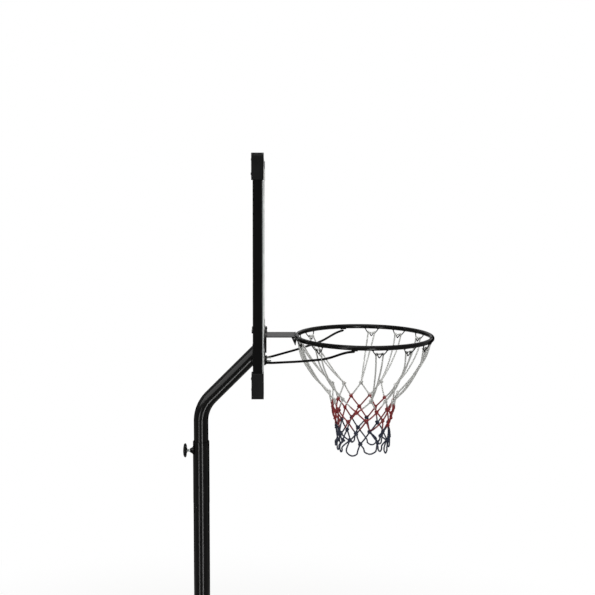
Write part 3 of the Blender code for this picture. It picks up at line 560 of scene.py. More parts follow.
# %% Refined copies of the solids
def copied(node):
    """A copy of a solid with its loose triangles merged into whole flat faces."""
    piece = new_object(node, frame["nodes"][node].data.copy())
    with editing(piece):
        bpy.ops.mesh.remove_doubles(threshold=0.00001)
        bpy.ops.mesh.dissolve_limited(angle_limit=math.radians(1))
    return piece


def refined(node, name, round_mm, paint, slot, segments=3, limit=40, angle=35):
    """The solid's shape with its sharp edges rounded off."""
    piece = rounded_edges(copied(node), round_mm, segments, limit)
    return finish(piece, name, paint, slot, BODY_OF[node], node, angle=angle)


# The frame's bars take the darker coat, which is painted shade.
STEEL_PARTS = (
    *[(f"frame_{side}", 1.2, frame_coat_painted_shade) for side in ("left", "right", "top", "bottom")],
    *[(f"centre_rail_{side}", 1.2, frame_coat_painted_shade) for side in ("left", "right")],
    ("mast_bracket", 0.8, black_coat),
    ("rim_back_plate", 0.8, black_coat),
    ("rim_top_plate", 0.7, black_coat),
    ("rim_net_tab", 0.3, black_coat),
)
for node, round_mm, coat in STEEL_PARTS:
    refined(node, node + "_coated", round_mm, coat, "black_steel")

# %% [markdown]
# The sheet keeps its sawn edges, only broken by a scraper. The lines on its front are a wide
# border and the shooter's square, which are the usual pattern on such boards. Each is a thin
# film of ink with a real thickness, modelled as a frame: a plate whose middle is inset and
# taken out.

# %% Sheet and printed lines
# The film's middle is this far in front of the sheet, and the film is this thick.
INK_OFFSET = 0.0002
INK_THICK = INK_OFFSET * 0.9
BORDER_WIDTH = 0.045
LINE_WIDTH = 0.040
TARGET_HALF = 0.295
TARGET_BOTTOM = 0.035
TARGET_TOP = 0.485
BORDER_MARGIN = 0.030

name = "backboard_sheet_clear"
board = refined("backboard_sheet", name, 0.25, clear_sheet, "clear_sheet", segments=1, angle=0)
board.data.materials.append(sawn_edge)
for face in board.data.polygons:
    looks_sideways = abs(face.normal.x) < 0.5
    face.material_index = int(looks_sideways)


def printed_frame(name, low, high, width):
    """A rectangular line of ink on the front of the sheet, between two (y, z) corners."""
    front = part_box("backboard_sheet")[1].x
    size = (high[0] - low[0], high[1] - low[1])
    middle = ((low[0] + high[0]) / 2, (low[1] + high[1]) / 2)
    plane = added(bpy.ops.mesh.primitive_plane_add, size=1.0)
    upright = posed((front + INK_OFFSET, *middle), 90, "Y")
    line = placed(plane, upright @ Matrix.Diagonal((size[1], size[0], 1, 1)))
    with editing(line):
        bpy.ops.mesh.inset(thickness=width, depth=0.0)
        bpy.ops.mesh.delete(type="FACE")
    merged(line)
    modified(line, "SOLIDIFY", thickness=INK_THICK, offset=0.0)
    return finish(line, name, white_ink, "clear_sheet", "hoop_assembly")


sheet_low, sheet_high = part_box("backboard_sheet")
border_low = (sheet_low.y + BORDER_MARGIN, sheet_low.z + BORDER_MARGIN)
border_high = (sheet_high.y - BORDER_MARGIN, sheet_high.z - BORDER_MARGIN)
printed_frame("printed_border", border_low, border_high, BORDER_WIDTH)
target_low = (-TARGET_HALF, RIM_Z + TARGET_BOTTOM)
target_high = (TARGET_HALF, RIM_Z + TARGET_TOP)
printed_frame("printed_target", target_low, target_high, LINE_WIDTH)

# %% [markdown]
# A moulded cap covers each corner of the frame. Its edges are well rounded, because a mould
# needs that.

# %% Corner caps
CORNERS = [f"corner_cap_{height}_{side}" for height in ("bottom", "top") for side in ("left", "right")]
for node in CORNERS:
    refined(node, node + "_moulded", 1.6, polypropylene, "black_plastic", segments=4)

# %% [markdown]
# A turned part is drawn as half of its section, point by point, and that line is spun about an
# axis. The poles, the knob, the wheels and the heads of the screws are made this way.

# %% Turning
def extruded(x, y, z):
    """In edit mode, draws what is selected out by this much."""
    bpy.ops.mesh.extrude_region_move(TRANSFORM_OT_translate={"value": (x, y, z)})


def turned(profile, closed=True, steps=64, place=Matrix.Identity(4)):
    """Spins a chain of (radius, height) points about the Z axis, and moves the result."""
    piece = added(bpy.ops.mesh.primitive_plane_add, size=0.01)
    chain = list(profile) + ([profile[0]] if closed else [])
    with editing(piece):
        bpy.ops.mesh.merge(type="CENTER")
        bpy.ops.transform.translate(value=(profile[0][0], 0, profile[0][1]))
        for (r0, z0), (r1, z1) in zip(chain, chain[1:]):
            extruded(r1 - r0, 0, z1 - z0)
        bpy.ops.mesh.select_all(action="SELECT")
        bpy.ops.mesh.spin(steps=steps, angle=2 * math.pi, center=(0, 0, 0), axis=(0, 0, 1))
    return placed(merged(piece, 0.00002), place)


# %% [markdown]
# The outer pole comes in three lengths. Each lower length is drawn down to a neck at its top,
# and the next one slides over it, so a fine step shows at each seam. The top length is a
# slightly wider sleeve.

# %% Outer poles
POLE_R = 0.0284
POLE_WALL = 0.0012
NECK_R = 0.0269
NECK_WALL = 0.0008
NECK_LENGTH = 0.070
SLEEVE_R = 0.0288
SLEEVE_WALL = 0.0014
LOWER_SEAM_Z = 0.960
UPPER_SEAM_Z = 1.978
SLEEVE_TOP_Z = 2.200
SEAM_GAP = 0.0003
# The wall is drawn in over these lengths below a seam, outside and inside.
DRAW_OUTSIDE = 0.003
DRAW_INSIDE = (0.002, 0.005)


def pole(foot, seam):
    """A pole with a drawn neck at its top."""
    inner, neck_inner = POLE_R - POLE_WALL, NECK_R - NECK_WALL
    profile = (
        (inner, foot),
        (POLE_R, foot),
        (POLE_R, seam - DRAW_OUTSIDE),
        (NECK_R, seam),
        (NECK_R, seam + NECK_LENGTH),
        (neck_inner, seam + NECK_LENGTH),
        (neck_inner, seam - DRAW_INSIDE[0]),
        (inner, seam - DRAW_INSIDE[1]),
    )
    return rounded_edges(turned(profile), 0.35)


coated(pole(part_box("bottom_pole")[0].z, LOWER_SEAM_Z), "bottom_pole_coated", "bottom_pole")
coated(pole(LOWER_SEAM_Z + SEAM_GAP, UPPER_SEAM_Z), "middle_pole_coated", "middle_pole")

# %% [markdown]
# The sleeve carries a welded nut for the clamp screw. The nut is a stout cone, and a ring of
# weld holds its foot to the tube. A weld bead is a row of overlapping puddles, so a round wire
# is bent round the joint and its thickness rises and falls along it.

# %% Weld beads and wires
def smooth_path(points, per_span):
    """Points on a smooth curve through these points."""
    padded = [points[0] * 2 - points[1], *points, points[-1] * 2 - points[-2]]
    path = []
    for a, b, c, d in zip(padded, padded[1:], padded[2:], padded[3:]):
        for step in range(per_span):
            t = step / per_span
            bend = (2 * a - 5 * b + 4 * c - d) * t**2 + (3 * b - a - 3 * c + d) * t**3
            path.append(0.5 * (2 * b + (c - a) * t + bend))
    return [*path, points[-1]]


def wire(paths, radius=0.0, sides=12, closed=False, thickness=None, twist=None, profile=None):
    """Wires along paths, as one mesh, round or with a profile.

    thickness and twist are functions that give a value for each point's number.
    """
    data = bpy.data.curves.new("wire", "CURVE")
    data.dimensions = "3D"
    data.use_fill_caps = not closed
    if profile:
        data.bevel_mode = "OBJECT"
        data.bevel_object = profile
    else:
        data.bevel_depth = radius
        data.bevel_resolution = max(0, sides // 4 - 1)
    for path in paths:
        spline = data.splines.new("POLY")
        spline.points.add(len(path) - 1)
        spline.use_cyclic_u = closed
        for index, (point, place) in enumerate(zip(spline.points, path)):
            point.co = (*place, 1.0)
            if thickness:
                point.radius = thickness(index)
            if twist:
                point.tilt = twist(index)
    only(new_object("wire", data))
    bpy.ops.object.convert(target="MESH")
    return merged(bpy.context.object)


PUDDLE_SWELL = 0.16
PUDDLE_STEP = 1.9
# The middle of a bead round a tube's end is this far outside the tube.
BEAD_LIFT = 0.0006


def weld_bead(path, radius, closed=False):
    """A bead of weld along a path: a wire that swells at each puddle."""

    def swell(index):
        return 1.0 + PUDDLE_SWELL * math.sin(index * PUDDLE_STEP)

    return wire([path], radius, closed=closed, thickness=swell)


def ring_path(centre, radius, axis="X", count=64, stretch=1.0):
    """Points round a circle about the X or the Z axis; stretch lengthens it."""
    points = []
    for step in range(count):
        turn = 2 * math.pi * step / count
        a, b = radius * math.cos(turn), radius * math.sin(turn) * stretch
        points.append(Vector(centre) + Vector((0, a, b) if axis == "X" else (a, b, 0)))
    return points


# %% [markdown]
# The sleeve is a plain tube. The foot of its welded nut meets a round tube, so the bead's path
# is a circle that is laid on the tube's surface.

# %% Clamp sleeve
CLAMP_Z = 2.167
CLAMP_THREAD_R = 0.005
NUT_HOLE_R = CLAMP_THREAD_R + 0.0004
# The welded nut's section, as radius and height over the sleeve. Its foot sinks in a little.
WELD_NUT = (
    (NUT_HOLE_R, 0.0105),
    (0.0065, 0.0105),
    (0.0075, 0.0095),
    (0.0125, 0.0005),
    (0.0125, -0.0012),
    (NUT_HOLE_R, -0.0012),
)
WELD_NUT_SINK = 0.0005
NUT_BEAD_PATH_R = 0.0128
NUT_BEAD_R = 0.0014

inner, start = SLEEVE_R - SLEEVE_WALL, UPPER_SEAM_Z + SEAM_GAP
wall = ((inner, start), (SLEEVE_R, start), (SLEEVE_R, SLEEVE_TOP_Z), (inner, SLEEVE_TOP_Z))
sleeve = rounded_edges(turned(wall), 0.4)
nut_place = posed((-SLEEVE_R + WELD_NUT_SINK, 0, CLAMP_Z), -90, "Y")
weld_nut = rounded_edges(turned(WELD_NUT, steps=48, place=nut_place), 0.5)
circle = ring_path((0, 0, CLAMP_Z), NUT_BEAD_PATH_R)
bead_path = [Vector((-math.sqrt(SLEEVE_R**2 - p.y**2), p.y, p.z)) for p in circle]
bead = weld_bead(bead_path, NUT_BEAD_R, closed=True)
coated(joined(sleeve, weld_nut, bead), "clamp_sleeve_coated", "clamp_tube")

# %% [markdown]
# The clamp screw is an M10 bolt, and its thread is a real helix: one tooth of the thread is
# drawn and a Screw modifier carries it along the bolt, over a plain core.

# %% Threads
CLAMP_PITCH = 0.0015
# The tooth's depth, the rise of each flank and the width of its crest, as shares of the pitch.
TOOTH_DEPTH = 0.6134
FLANK, CREST = 0.42, 0.16
THREAD_STEPS = 24
# The core reaches this share of the tooth's depth from the outside, to overlap its root.
CORE_DEPTH = 0.96


def threaded(radius, pitch, length, place):
    """A threaded rod along its own Z axis, from 0 to its length."""
    depth = pitch * TOOTH_DEPTH
    helix = added(bpy.ops.mesh.primitive_plane_add, size=0.01)
    with editing(helix):
        bpy.ops.mesh.merge(type="CENTER")
        bpy.ops.transform.translate(value=(radius - depth, 0, 0))
        for out, up in ((depth, pitch * FLANK), (0, pitch * CREST), (-depth, pitch * FLANK)):
            extruded(out, 0, up)
    modified(
        helix,
        "SCREW",
        axis="Z",
        angle=2 * math.pi,
        screw_offset=pitch,
        iterations=max(1, round(length / pitch) - 1),
        steps=THREAD_STEPS,
        render_steps=THREAD_STEPS,
        use_merge_vertices=False,
    )
    merged(helix, 0.00002)
    with editing(helix):
        bpy.ops.mesh.fill_holes(sides=0)
        bpy.ops.mesh.select_all(action="SELECT")
        bpy.ops.mesh.normals_make_consistent(inside=False)
    core_r = radius - depth * CORE_DEPTH
    core = turned(((0, 0), (core_r, 0), (core_r, length), (0, length)), closed=False, steps=THREAD_STEPS)
    return placed(joined(helix, rounded_edges(core, 0.3)), place)


screw_low, screw_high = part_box("clamp_screw")
screw_place = posed((screw_high.x, 0, CLAMP_Z), -90, "Y")
screw = threaded(CLAMP_THREAD_R, CLAMP_PITCH, screw_high.x - screw_low.x, screw_place)
finish(screw, "clamp_screw_threaded", zinc, "zinc_steel", "clamp_screw", "clamp_screw")

# %% [markdown]
# The knob is a moulded disc, crowned on both faces, with shallow hollows for the fingers round
# its edge. It is turned as a plain lens first, and its outer part is then drawn in between the
# lobes.

# %% Clamp knob
KNOB_LOBES = 6
KNOB_HOLLOW = 0.0026
KNOB_CROWN_R = 0.015
KNOB_RIM_HALF = 0.0010
KNOB_HOLE_R = CLAMP_THREAD_R + 0.0003
KNOB_HOLE_DEPTH = 0.0062
# The outer face from its middle to the rim, and the back from the rim to the neck, as radii
# and shares of half the thickness.
KNOB_FACE = ((0.0, 1), (0.007, 0.99), (0.014, 0.88), (0.019, 0.74), (0.023, 0.52))
KNOB_BACK = ((0.023, 0.52), (0.019, 0.66), (0.012, 0.74), (0.0095, 0.80), (0.0085, 1))

knob_low, knob_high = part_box("clamp_knob")
knob_r = (knob_high.z - knob_low.z) / 2
half_thick = (knob_high.x - knob_low.x) / 2
profile = [
    *[(r, half_thick * share) for r, share in KNOB_FACE],
    (knob_r, KNOB_RIM_HALF),
    (knob_r, -KNOB_RIM_HALF),
    *[(r, -half_thick * share) for r, share in KNOB_BACK],
    (KNOB_HOLE_R, -half_thick),
    (KNOB_HOLE_R, -half_thick + KNOB_HOLE_DEPTH),
    (0.0, -half_thick + KNOB_HOLE_DEPTH),
]
knob = rounded_edges(turned(profile, closed=False, steps=96), 0.7, limit=25)
for vert in knob.data.vertices:
    radius = math.hypot(vert.co.x, vert.co.y)
    turn = math.atan2(vert.co.y, vert.co.x)
    share = max(0.0, min(1.0, (radius - KNOB_CROWN_R) / (knob_r - KNOB_CROWN_R)))
    draw = 1 - share * KNOB_HOLLOW / knob_r * (1 - math.cos(KNOB_LOBES * turn)) / 2
    vert.co.x *= draw
    vert.co.y *= draw
placed(knob, posed(((knob_low.x + knob_high.x) / 2, 0, CLAMP_Z), -90, "Y"))
finish(knob, "clamp_knob_moulded", polypropylene, "black_plastic", "clamp_knob", "clamp_knob", angle=50)

# %% [markdown]
# The sliding mast is one steel tube, bent at 45 degrees on a mandrel. A circle is drawn up to
# the bend, spun round the bend's centre and drawn on to the bracket. The end is cut plumb, and
# the wall is added last. The tube is welded all round to its bracket.

# %% Sliding mast
MAST_R = 0.0254
MAST_WALL = 0.0015
BEND_Z = 2.322
BEND_RADIUS = 0.120
BEND_ANGLE = math.radians(45)
# The slanted part is drawn this far past the bend, and then cut off at the bracket.
SLANT_REACH = 0.2
MAST_BEAD_R = 0.0022
MAST_BEAD_SETBACK = 0.0012

mast_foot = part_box("upper_mast")[0].z
bracket_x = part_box("mast_bracket")[0].x
bend_start = BEND_Z - BEND_RADIUS * math.tan(BEND_ANGLE / 2)
mast = added(bpy.ops.mesh.primitive_circle_add, vertices=64, radius=MAST_R, location=(0, 0, mast_foot))
with editing(mast):
    extruded(0, 0, bend_start - mast_foot)
    bpy.ops.mesh.spin(steps=28, angle=-BEND_ANGLE, center=(BEND_RADIUS, 0, bend_start), axis=(0, 1, 0))
    extruded(SLANT_REACH, 0, SLANT_REACH)
    bpy.ops.mesh.select_all(action="SELECT")
    bpy.ops.mesh.bisect(plane_co=(bracket_x - SEAM_GAP, 0, 0), plane_no=(1, 0, 0), clear_outer=True)
merged(mast)
modified(mast, "SOLIDIFY", thickness=MAST_WALL, offset=-1.0)
seam_centre = (bracket_x - MAST_BEAD_SETBACK, 0, BEND_Z + bracket_x)
seam = ring_path(seam_centre, MAST_R + BEAD_LIFT, count=96, stretch=math.sqrt(2))
coated(joined(mast, weld_bead(seam, MAST_BEAD_R, closed=True)), "mast_tube_coated", "upper_mast")

# %% [markdown]
# The rim is a 16 mm steel rod, bent to a ring and butt-welded. Two thinner rods brace it from
# the bracket: they run out almost level, then swing up and are welded under the rim.

# %% Rim and braces
RIM_CENTRE = Vector((0.566, 0, RIM_Z))
RIM_RADIUS = 0.233
RIM_ROD_R = 0.008
BRACE_R = 0.004
BRACE_START = (0.2249, 0.050, -0.084)
BRACE_TIP = (0.514, 0.2215, -0.0126)
# The brace's height from the rim's middle, at shares of its way from the bracket to its tip.
BRACE_RISE = (
    (0.0, -0.0840),
    (0.38, -0.0660),
    (0.68, -0.0480),
    (0.80, -0.0330),
    (0.90, -0.0185),
    (1.0, -0.0126),
)
BRACE_STUB = 0.007
BRACE_STEPS = 72
# The rise is averaged over this share of the way on each side, which rounds its bends.
BRACE_SMOOTHING = 0.07
# Two beads hold each brace under the rim, and two hold the folded plate at the rim's back.
BRACE_BEAD_DROP = 0.0088
BRACE_BEAD_INSETS = (-0.0036, 0.0036)
BRACE_BEAD_XS = (-0.010, -0.006, -0.002, 0.002, 0.006, 0.010)
BRACE_BEAD_R = 0.0016
BRACE_FOOT_BEAD_R = 0.0014
BRACE_FOOT_BEAD_SETBACK = 0.0008
PLATE_BEAD_R = 0.0020
PLATE_BEAD_INSET = -0.0074
PLATE_BEAD_SINK = 0.0004
PLATE_BEAD_LOW_DROP = 0.0036
PLATE_BEAD_TURNS = range(-10, 11, 2)


def on_rim(angle, sideways, drop, inward=0.0):
    """A point by the rim, from its angle, its offset along the rim, its drop and its inset."""
    turn = math.radians(angle)
    out = Vector((math.cos(turn), math.sin(turn), 0))
    along = Vector((-math.sin(turn), math.cos(turn), 0))
    return RIM_CENTRE + out * (RIM_RADIUS - inward) + along * sideways - Vector((0, 0, drop))


rim = added(
    bpy.ops.mesh.primitive_torus_add,
    major_radius=RIM_RADIUS,
    minor_radius=RIM_ROD_R,
    major_segments=160,
    minor_segments=28,
    location=RIM_CENTRE,
)
beads = []
for side in (1, -1):
    tip_angle = math.degrees(math.atan2(side * BRACE_TIP[1], BRACE_TIP[0] - RIM_CENTRE.x))
    for inset in BRACE_BEAD_INSETS:
        path = [on_rim(tip_angle, x, BRACE_BEAD_DROP, inset) for x in BRACE_BEAD_XS]
        beads.append(weld_bead(smooth_path(path, 6), BRACE_BEAD_R))
plate_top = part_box("rim_top_plate")[1].z
for drop in (RIM_Z - plate_top - PLATE_BEAD_SINK, PLATE_BEAD_LOW_DROP):
    path = [on_rim(180 + turn, 0, drop, PLATE_BEAD_INSET) for turn in PLATE_BEAD_TURNS]
    beads.append(weld_bead(smooth_path(path, 5), PLATE_BEAD_R))
coated(joined(rim, *beads), "rim_rod_coated", "rim")


def interpolate(share, table):
    """The value at a share of the way along a table of (share, value) pairs."""
    for (a, low), (b, high) in zip(table, table[1:]):
        if share <= b:
            return low + (high - low) * (share - a) / (b - a)
    return table[-1][1]


def brace_path(side):
    """A brace from the bracket to the rim, with smooth bends."""
    start, tip = Vector(BRACE_START), Vector(BRACE_TIP)
    points = [Vector((start.x, side * start.y, RIM_Z + start.z))]
    for step in range(BRACE_STEPS + 1):
        share = step / BRACE_STEPS
        window = [min(1.0, max(0.0, share + BRACE_SMOOTHING * k / 4)) for k in range(-4, 5)]
        z = sum(interpolate(s, BRACE_RISE) for s in window) / len(window)
        x = start.x + BRACE_STUB + (tip.x - start.x - BRACE_STUB) * share
        y = start.y + (tip.y - start.y) * share
        points.append(Vector((x, side * y, RIM_Z + z)))
    return points


for node, side in (("rim_brace_left", 1), ("rim_brace_right", -1)):
    path = brace_path(side)
    # The welded tip narrows, so that it doesn't stick out beside its beads.
    narrow = {len(path) - 2: 0.95, len(path) - 1: 0.55}
    brace = wire([path], BRACE_R, sides=24, thickness=lambda i: narrow.get(i, 1.0))
    foot = ring_path(path[0] + Vector((BRACE_FOOT_BEAD_SETBACK, 0, 0)), BRACE_R + BEAD_LIFT, count=32)
    coated(joined(brace, weld_bead(foot, BRACE_FOOT_BEAD_R, closed=True)), node + "_coated", node)

# %% [markdown]
# Eleven hooks of thin wire are welded under the rim. Each is a flat W: its legs come down from
# the rim, dip, and meet at a point in the middle, and the net's cord lies in the two dips. One
# hook is bent and then copied round the rim.

# %% Net hooks
HOOK_ANGLES = (-4, 26, 51, 77, 141, 164, 194, 223, 277, 304, 327)
HOOK_WIRE_R = 0.0018
HOOK_START_DROP = RIM_ROD_R + 0.0006
HOOK_LEAN = 0.40
HOOK_FOOT = 0.0235
DIP_SPREAD = 0.0120
DIP_DROP = 0.0235
# Half of the W, from its foot to its middle, as sideways offsets and drops below the rim.
HOOK_HALF = (
    (HOOK_FOOT, HOOK_START_DROP),
    (0.0196, 0.0150),
    (DIP_SPREAD + 0.0022, DIP_DROP - 0.0022),
    (DIP_SPREAD - 0.0010, DIP_DROP),
    (DIP_SPREAD - 0.0042, DIP_DROP - 0.0032),
    (0.0050, 0.0270),
    (0.0009, 0.0328),
)
# The wire is this much thicker in its dips, and the swelling reaches this far.
DIP_SWELL, DIP_REACH = 0.35, 0.005
# The dab of weld on each foot is a flattened ball, sunk a little into the rim.
DAB_R = 0.0034
DAB_SHAPE = (0.9, 1.3, 0.62)
DAB_SINK = 0.0004


def at_first_hook(sideways, drop):
    """A point of the hook at angle 0, which leans inwards as it drops."""
    return on_rim(0, sideways, drop, (drop - HOOK_START_DROP) * HOOK_LEAN)


halves = [(-x, drop) for x, drop in HOOK_HALF] + [(x, drop) for x, drop in reversed(HOOK_HALF)]
hook_path = smooth_path([at_first_hook(x, drop) for x, drop in halves], 6)
dips = [at_first_hook(side * DIP_SPREAD, DIP_DROP) for side in (-1, 1)]


def hook_thickness(index):
    """The wire is pressed a little wider in its two dips."""
    nearest = min((hook_path[index] - dip).length for dip in dips)
    return 1.0 + DIP_SWELL * max(0.0, 1 - nearest / DIP_REACH)


first_hook = wire([hook_path], HOOK_WIRE_R, thickness=hook_thickness)
dabs = []
for sideways in (-HOOK_FOOT, HOOK_FOOT):
    dab = added(bpy.ops.mesh.primitive_uv_sphere_add, segments=16, ring_count=10, radius=DAB_R)
    place = Matrix.Translation(on_rim(0, sideways, RIM_ROD_R - DAB_SINK, DAB_SINK))
    dabs.append(placed(dab, place @ Matrix.Diagonal((*DAB_SHAPE, 1))))
first_hook = joined(first_hook, *dabs)
for number, angle in enumerate(HOOK_ANGLES, start=1):
    node = f"net_hook_{number:02d}"
    hook = duplicate(first_hook, posed(RIM_CENTRE, angle) @ Matrix.Translation(-RIM_CENTRE))
    coated(hook, node + "_wire", node, angle=60)
bpy.data.objects.remove(first_hook, do_unlink=True)

# %% [markdown]
# The net is knotted from laid cord: three strands twisted together. A small three-lobed
# section is swept along each length of cord and turned as it goes, which gives the twist real
# grooves. The cord hangs over each hook as a long loop, is tied off, and then runs from knot to
# knot in rows of diamonds that end in loose loops.

# %% Knots' places
TAB_ANGLE = 180
LOOP_ANGLES = sorted((*HOOK_ANGLES, TAB_ANGLE))
COLUMNS = len(LOOP_ANGLES)

# The radius of each row, and for each of its knots the turn round the rim in degrees and the
# drop below the rim in millimetres. The net was tied by hand, so both vary.
KNOT_ROWS = (
    (0.118, ((-8, 195), (14, 178), (52, 177), (88, 187), (120, 186), (150, 177),
             (180, 195), (208, 211), (228, 200), (277, 201), (303, 205), (322, 212))),
    (0.108, ((12, 232), (40, 231), (72, 228), (108, 232), (140, 235), (168, 240),
             (184, 246), (213, 244), (252, 243), (289, 242), (316, 240), (339, 239))),
    (0.099, ((2, 272), (28, 270), (58, 267), (92, 270), (125, 269), (155, 275),
             (184, 286), (208, 284), (233, 281), (270, 274), (306, 276), (338, 275))),
    (0.095, ((18, 310), (52, 323), (76, 309), (110, 307), (137, 308), (166, 312),
             (184, 317), (212, 328), (250, 319), (278, 311), (302, 328), (327, 300))),
    (0.092, ((0, 350), (34, 349), (69, 361), (96, 345), (122, 350), (150, 352),
             (194, 357), (216, 352), (235, 346), (258, 355), (296, 350), (325, 352))),
)


def net_place(radius, turn, drop_mm):
    """A point of the net, from its distance to the rim's axis, its turn and its drop."""
    a = math.radians(turn)
    return RIM_CENTRE + Vector((radius * math.cos(a), radius * math.sin(a), -drop_mm / 1000))


KNOTS = [[net_place(radius, *knot) for knot in row] for radius, row in KNOT_ROWS]
print("knots:", sum(len(row) for row in KNOTS))

# %% [markdown]
# A hanging cord isn't straight: it bows away from the net and sags a little. A smooth curve
# through two points between its ends gives that, and a random share makes no two alike.

# %% Paths of the cords
CORD_R = 0.0030
CORD_PITCH = 0.015
CORD_STEP = 0.0022
# How far the cords bow away from the net's axis, and how far those between knots sag.
LONG_BOW = 0.020
LONG_BOW_CHANGE = (-0.007, 0.006)
SHORT_BOW = (-0.002, 0.005)
SHORT_SAG = 0.0015
# A cord is led through two points. These are how far along each is and its share of the sag,
# and the bow at both is this share of the whole.
HANG_POINTS = ((0.3, 0.8), (0.7, 0.9))
HANG_BOW = 0.85
# Where the loop passes behind its hook: its half width, its rise over the dips and its inset.
BEHIND_HALF, BEHIND_RISE, BEHIND_INSET = 0.005, 0.002, 0.0058
LEG_START_DROP = 0.004
random.seed(7)

# The loose loops at the bottom: the turn of each one's lowest point, its drop in millimetres
# and half its width in degrees.
BOTTOM_RADIUS = 0.096
BOTTOM_LOOPS = (
    (16, 397, 6), (48, 400, 7), (66, 408, 10), (108, 400, 6), (137, 396, 7), (166, 390, 8),
    (201, 390, 5), (213, 393, 4), (241, 398, 12), (279, 389, 13), (301, 383, 5), (318, 394, 5),
)
# A loose loop's outline, as shares of its half width and millimetres over its lowest point.
LOOP_OUTLINE = ((-1.05, 20), (-0.85, 7), (0, 0), (0.85, 7), (1.05, 20))


def even_steps(points, step):
    """The same path with points an even step apart."""
    lengths = [(b - a).length for a, b in zip(points, points[1:])]
    total = sum(lengths)
    count = max(2, round(total / step))
    path, index, passed = [], 0, 0.0
    for number in range(count + 1):
        wanted = total * number / count
        while index < len(lengths) - 1 and passed + lengths[index] < wanted:
            passed += lengths[index]
            index += 1
        share = (wanted - passed) / lengths[index]
        path.append(points[index].lerp(points[index + 1], min(1.0, share)))
    return path


def hanging(start, end, bow, sag=0.0):
    """A cord from one point to another that bows away from the net's axis and sags."""
    middle = (start + end) / 2
    out = Vector((middle.x - RIM_CENTRE.x, middle.y, 0)).normalized()
    between = [
        start.lerp(end, share) + out * bow * HANG_BOW - Vector((0, 0, sag * sag_share))
        for share, sag_share in HANG_POINTS
    ]
    return smooth_path([start, *between, end], 10)


def hooked_loop(angle, knot):
    """The long loop over one hook: up from its knot, over both dips and down again."""
    inset = (DIP_DROP - HOOK_START_DROP) * HOOK_LEAN
    over_drop = DIP_DROP - HOOK_WIRE_R - CORD_R
    over = [on_rim(angle, side * DIP_SPREAD, over_drop, inset) for side in (-1, 1)]
    behind = [
        on_rim(angle, side * BEHIND_HALF, DIP_DROP - BEHIND_RISE, inset + BEHIND_INSET) for side in (-1, 1)
    ]
    legs = []
    for place in over:
        bow = LONG_BOW + random.uniform(*LONG_BOW_CHANGE)
        legs.append(hanging(place - Vector((0, 0, LEG_START_DROP)), knot, bow))
    top = smooth_path([legs[0][2], over[0], *behind, over[1], legs[1][2]], 6)
    return list(reversed(legs[0][3:])) + top + legs[1][3:]


def bottom_loop(start, end, turn, drop_mm, half):
    """A loose loop that hangs between two knots of the last row."""
    low = [net_place(BOTTOM_RADIUS, turn + share * half, drop_mm - rise) for share, rise in LOOP_OUTLINE]
    return smooth_path([start, *low, end], 8)


cords = [hooked_loop(angle, knot) for angle, knot in zip(LOOP_ANGLES, KNOTS[0])]
for row in range(len(KNOTS) - 1):
    for column in range(COLUMNS):
        after = (column + row % 2) % COLUMNS
        for below in ((after - 1) % COLUMNS, after):
            bow = random.uniform(*SHORT_BOW)
            cords.append(hanging(KNOTS[row][column], KNOTS[row + 1][below], bow, SHORT_SAG))
for column, loop in enumerate(BOTTOM_LOOPS):
    cords.append(bottom_loop(KNOTS[-1][column], KNOTS[-1][(column + 1) % COLUMNS], *loop))
cord_length = sum((b - a).length for path in cords for a, b in zip(path, path[1:]))
print("cords:", len(cords), "with a length in all of", round(cord_length, 2), "m")

# %% [markdown]
# The twist needs points at even steps, so each path is divided again before the sweep.

# %% Cord section and sweep
STRANDS = 3
SECTION_POINTS = 9
# A strand's bump over the section's mean radius, as shares of the cord's radius.
STRAND_MEAN, STRAND_BUMP = 0.88, 0.20


def strand_section(radius):
    """A small closed curve with one bump for each strand."""
    data = bpy.data.curves.new("strands", "CURVE")
    data.dimensions = "2D"
    spline = data.splines.new("POLY")
    spline.points.add(SECTION_POINTS - 1)
    spline.use_cyclic_u = True
    for index, point in enumerate(spline.points):
        turn = 2 * math.pi * index / SECTION_POINTS
        reach = radius * (STRAND_MEAN + STRAND_BUMP * math.cos(STRANDS * turn))
        point.co = (reach * math.cos(turn), reach * math.sin(turn), 0, 1)
    return new_object("strands", data)


section = strand_section(CORD_R)
turn_per_point = 2 * math.pi * CORD_STEP / CORD_PITCH
cords = [even_steps(path, CORD_STEP) for path in cords]
net = wire(cords, profile=section, twist=lambda i: i * turn_per_point)
finish(net, "net_cords", net_cord, "net_cord", "hoop_assembly", "net", angle=70)

# %% [markdown]
# Each knot is a tight overhand knot. Its path is a trefoil, the simplest knot that a cord can
# make, and one knot is tied and copied to every crossing, each turned its own way.

# %% Knots
KNOT_SIZE = 0.0019
KNOT_POINTS = 44
KNOT_DEPTH = 1.1
# Each knot is spun by up to this angle and tilted by up to this one, in radians.
KNOT_SPIN = 6.28
KNOT_TILT = 0.4


def trefoil(size, count):
    """Points along a trefoil about the Z axis."""
    points = []
    for step in range(count):
        t = 2 * math.pi * step / count
        x = math.sin(t) + 2 * math.sin(2 * t)
        y = math.cos(t) - 2 * math.cos(2 * t)
        points.append(Vector((x, y, -KNOT_DEPTH * math.sin(3 * t))) * size)
    return points


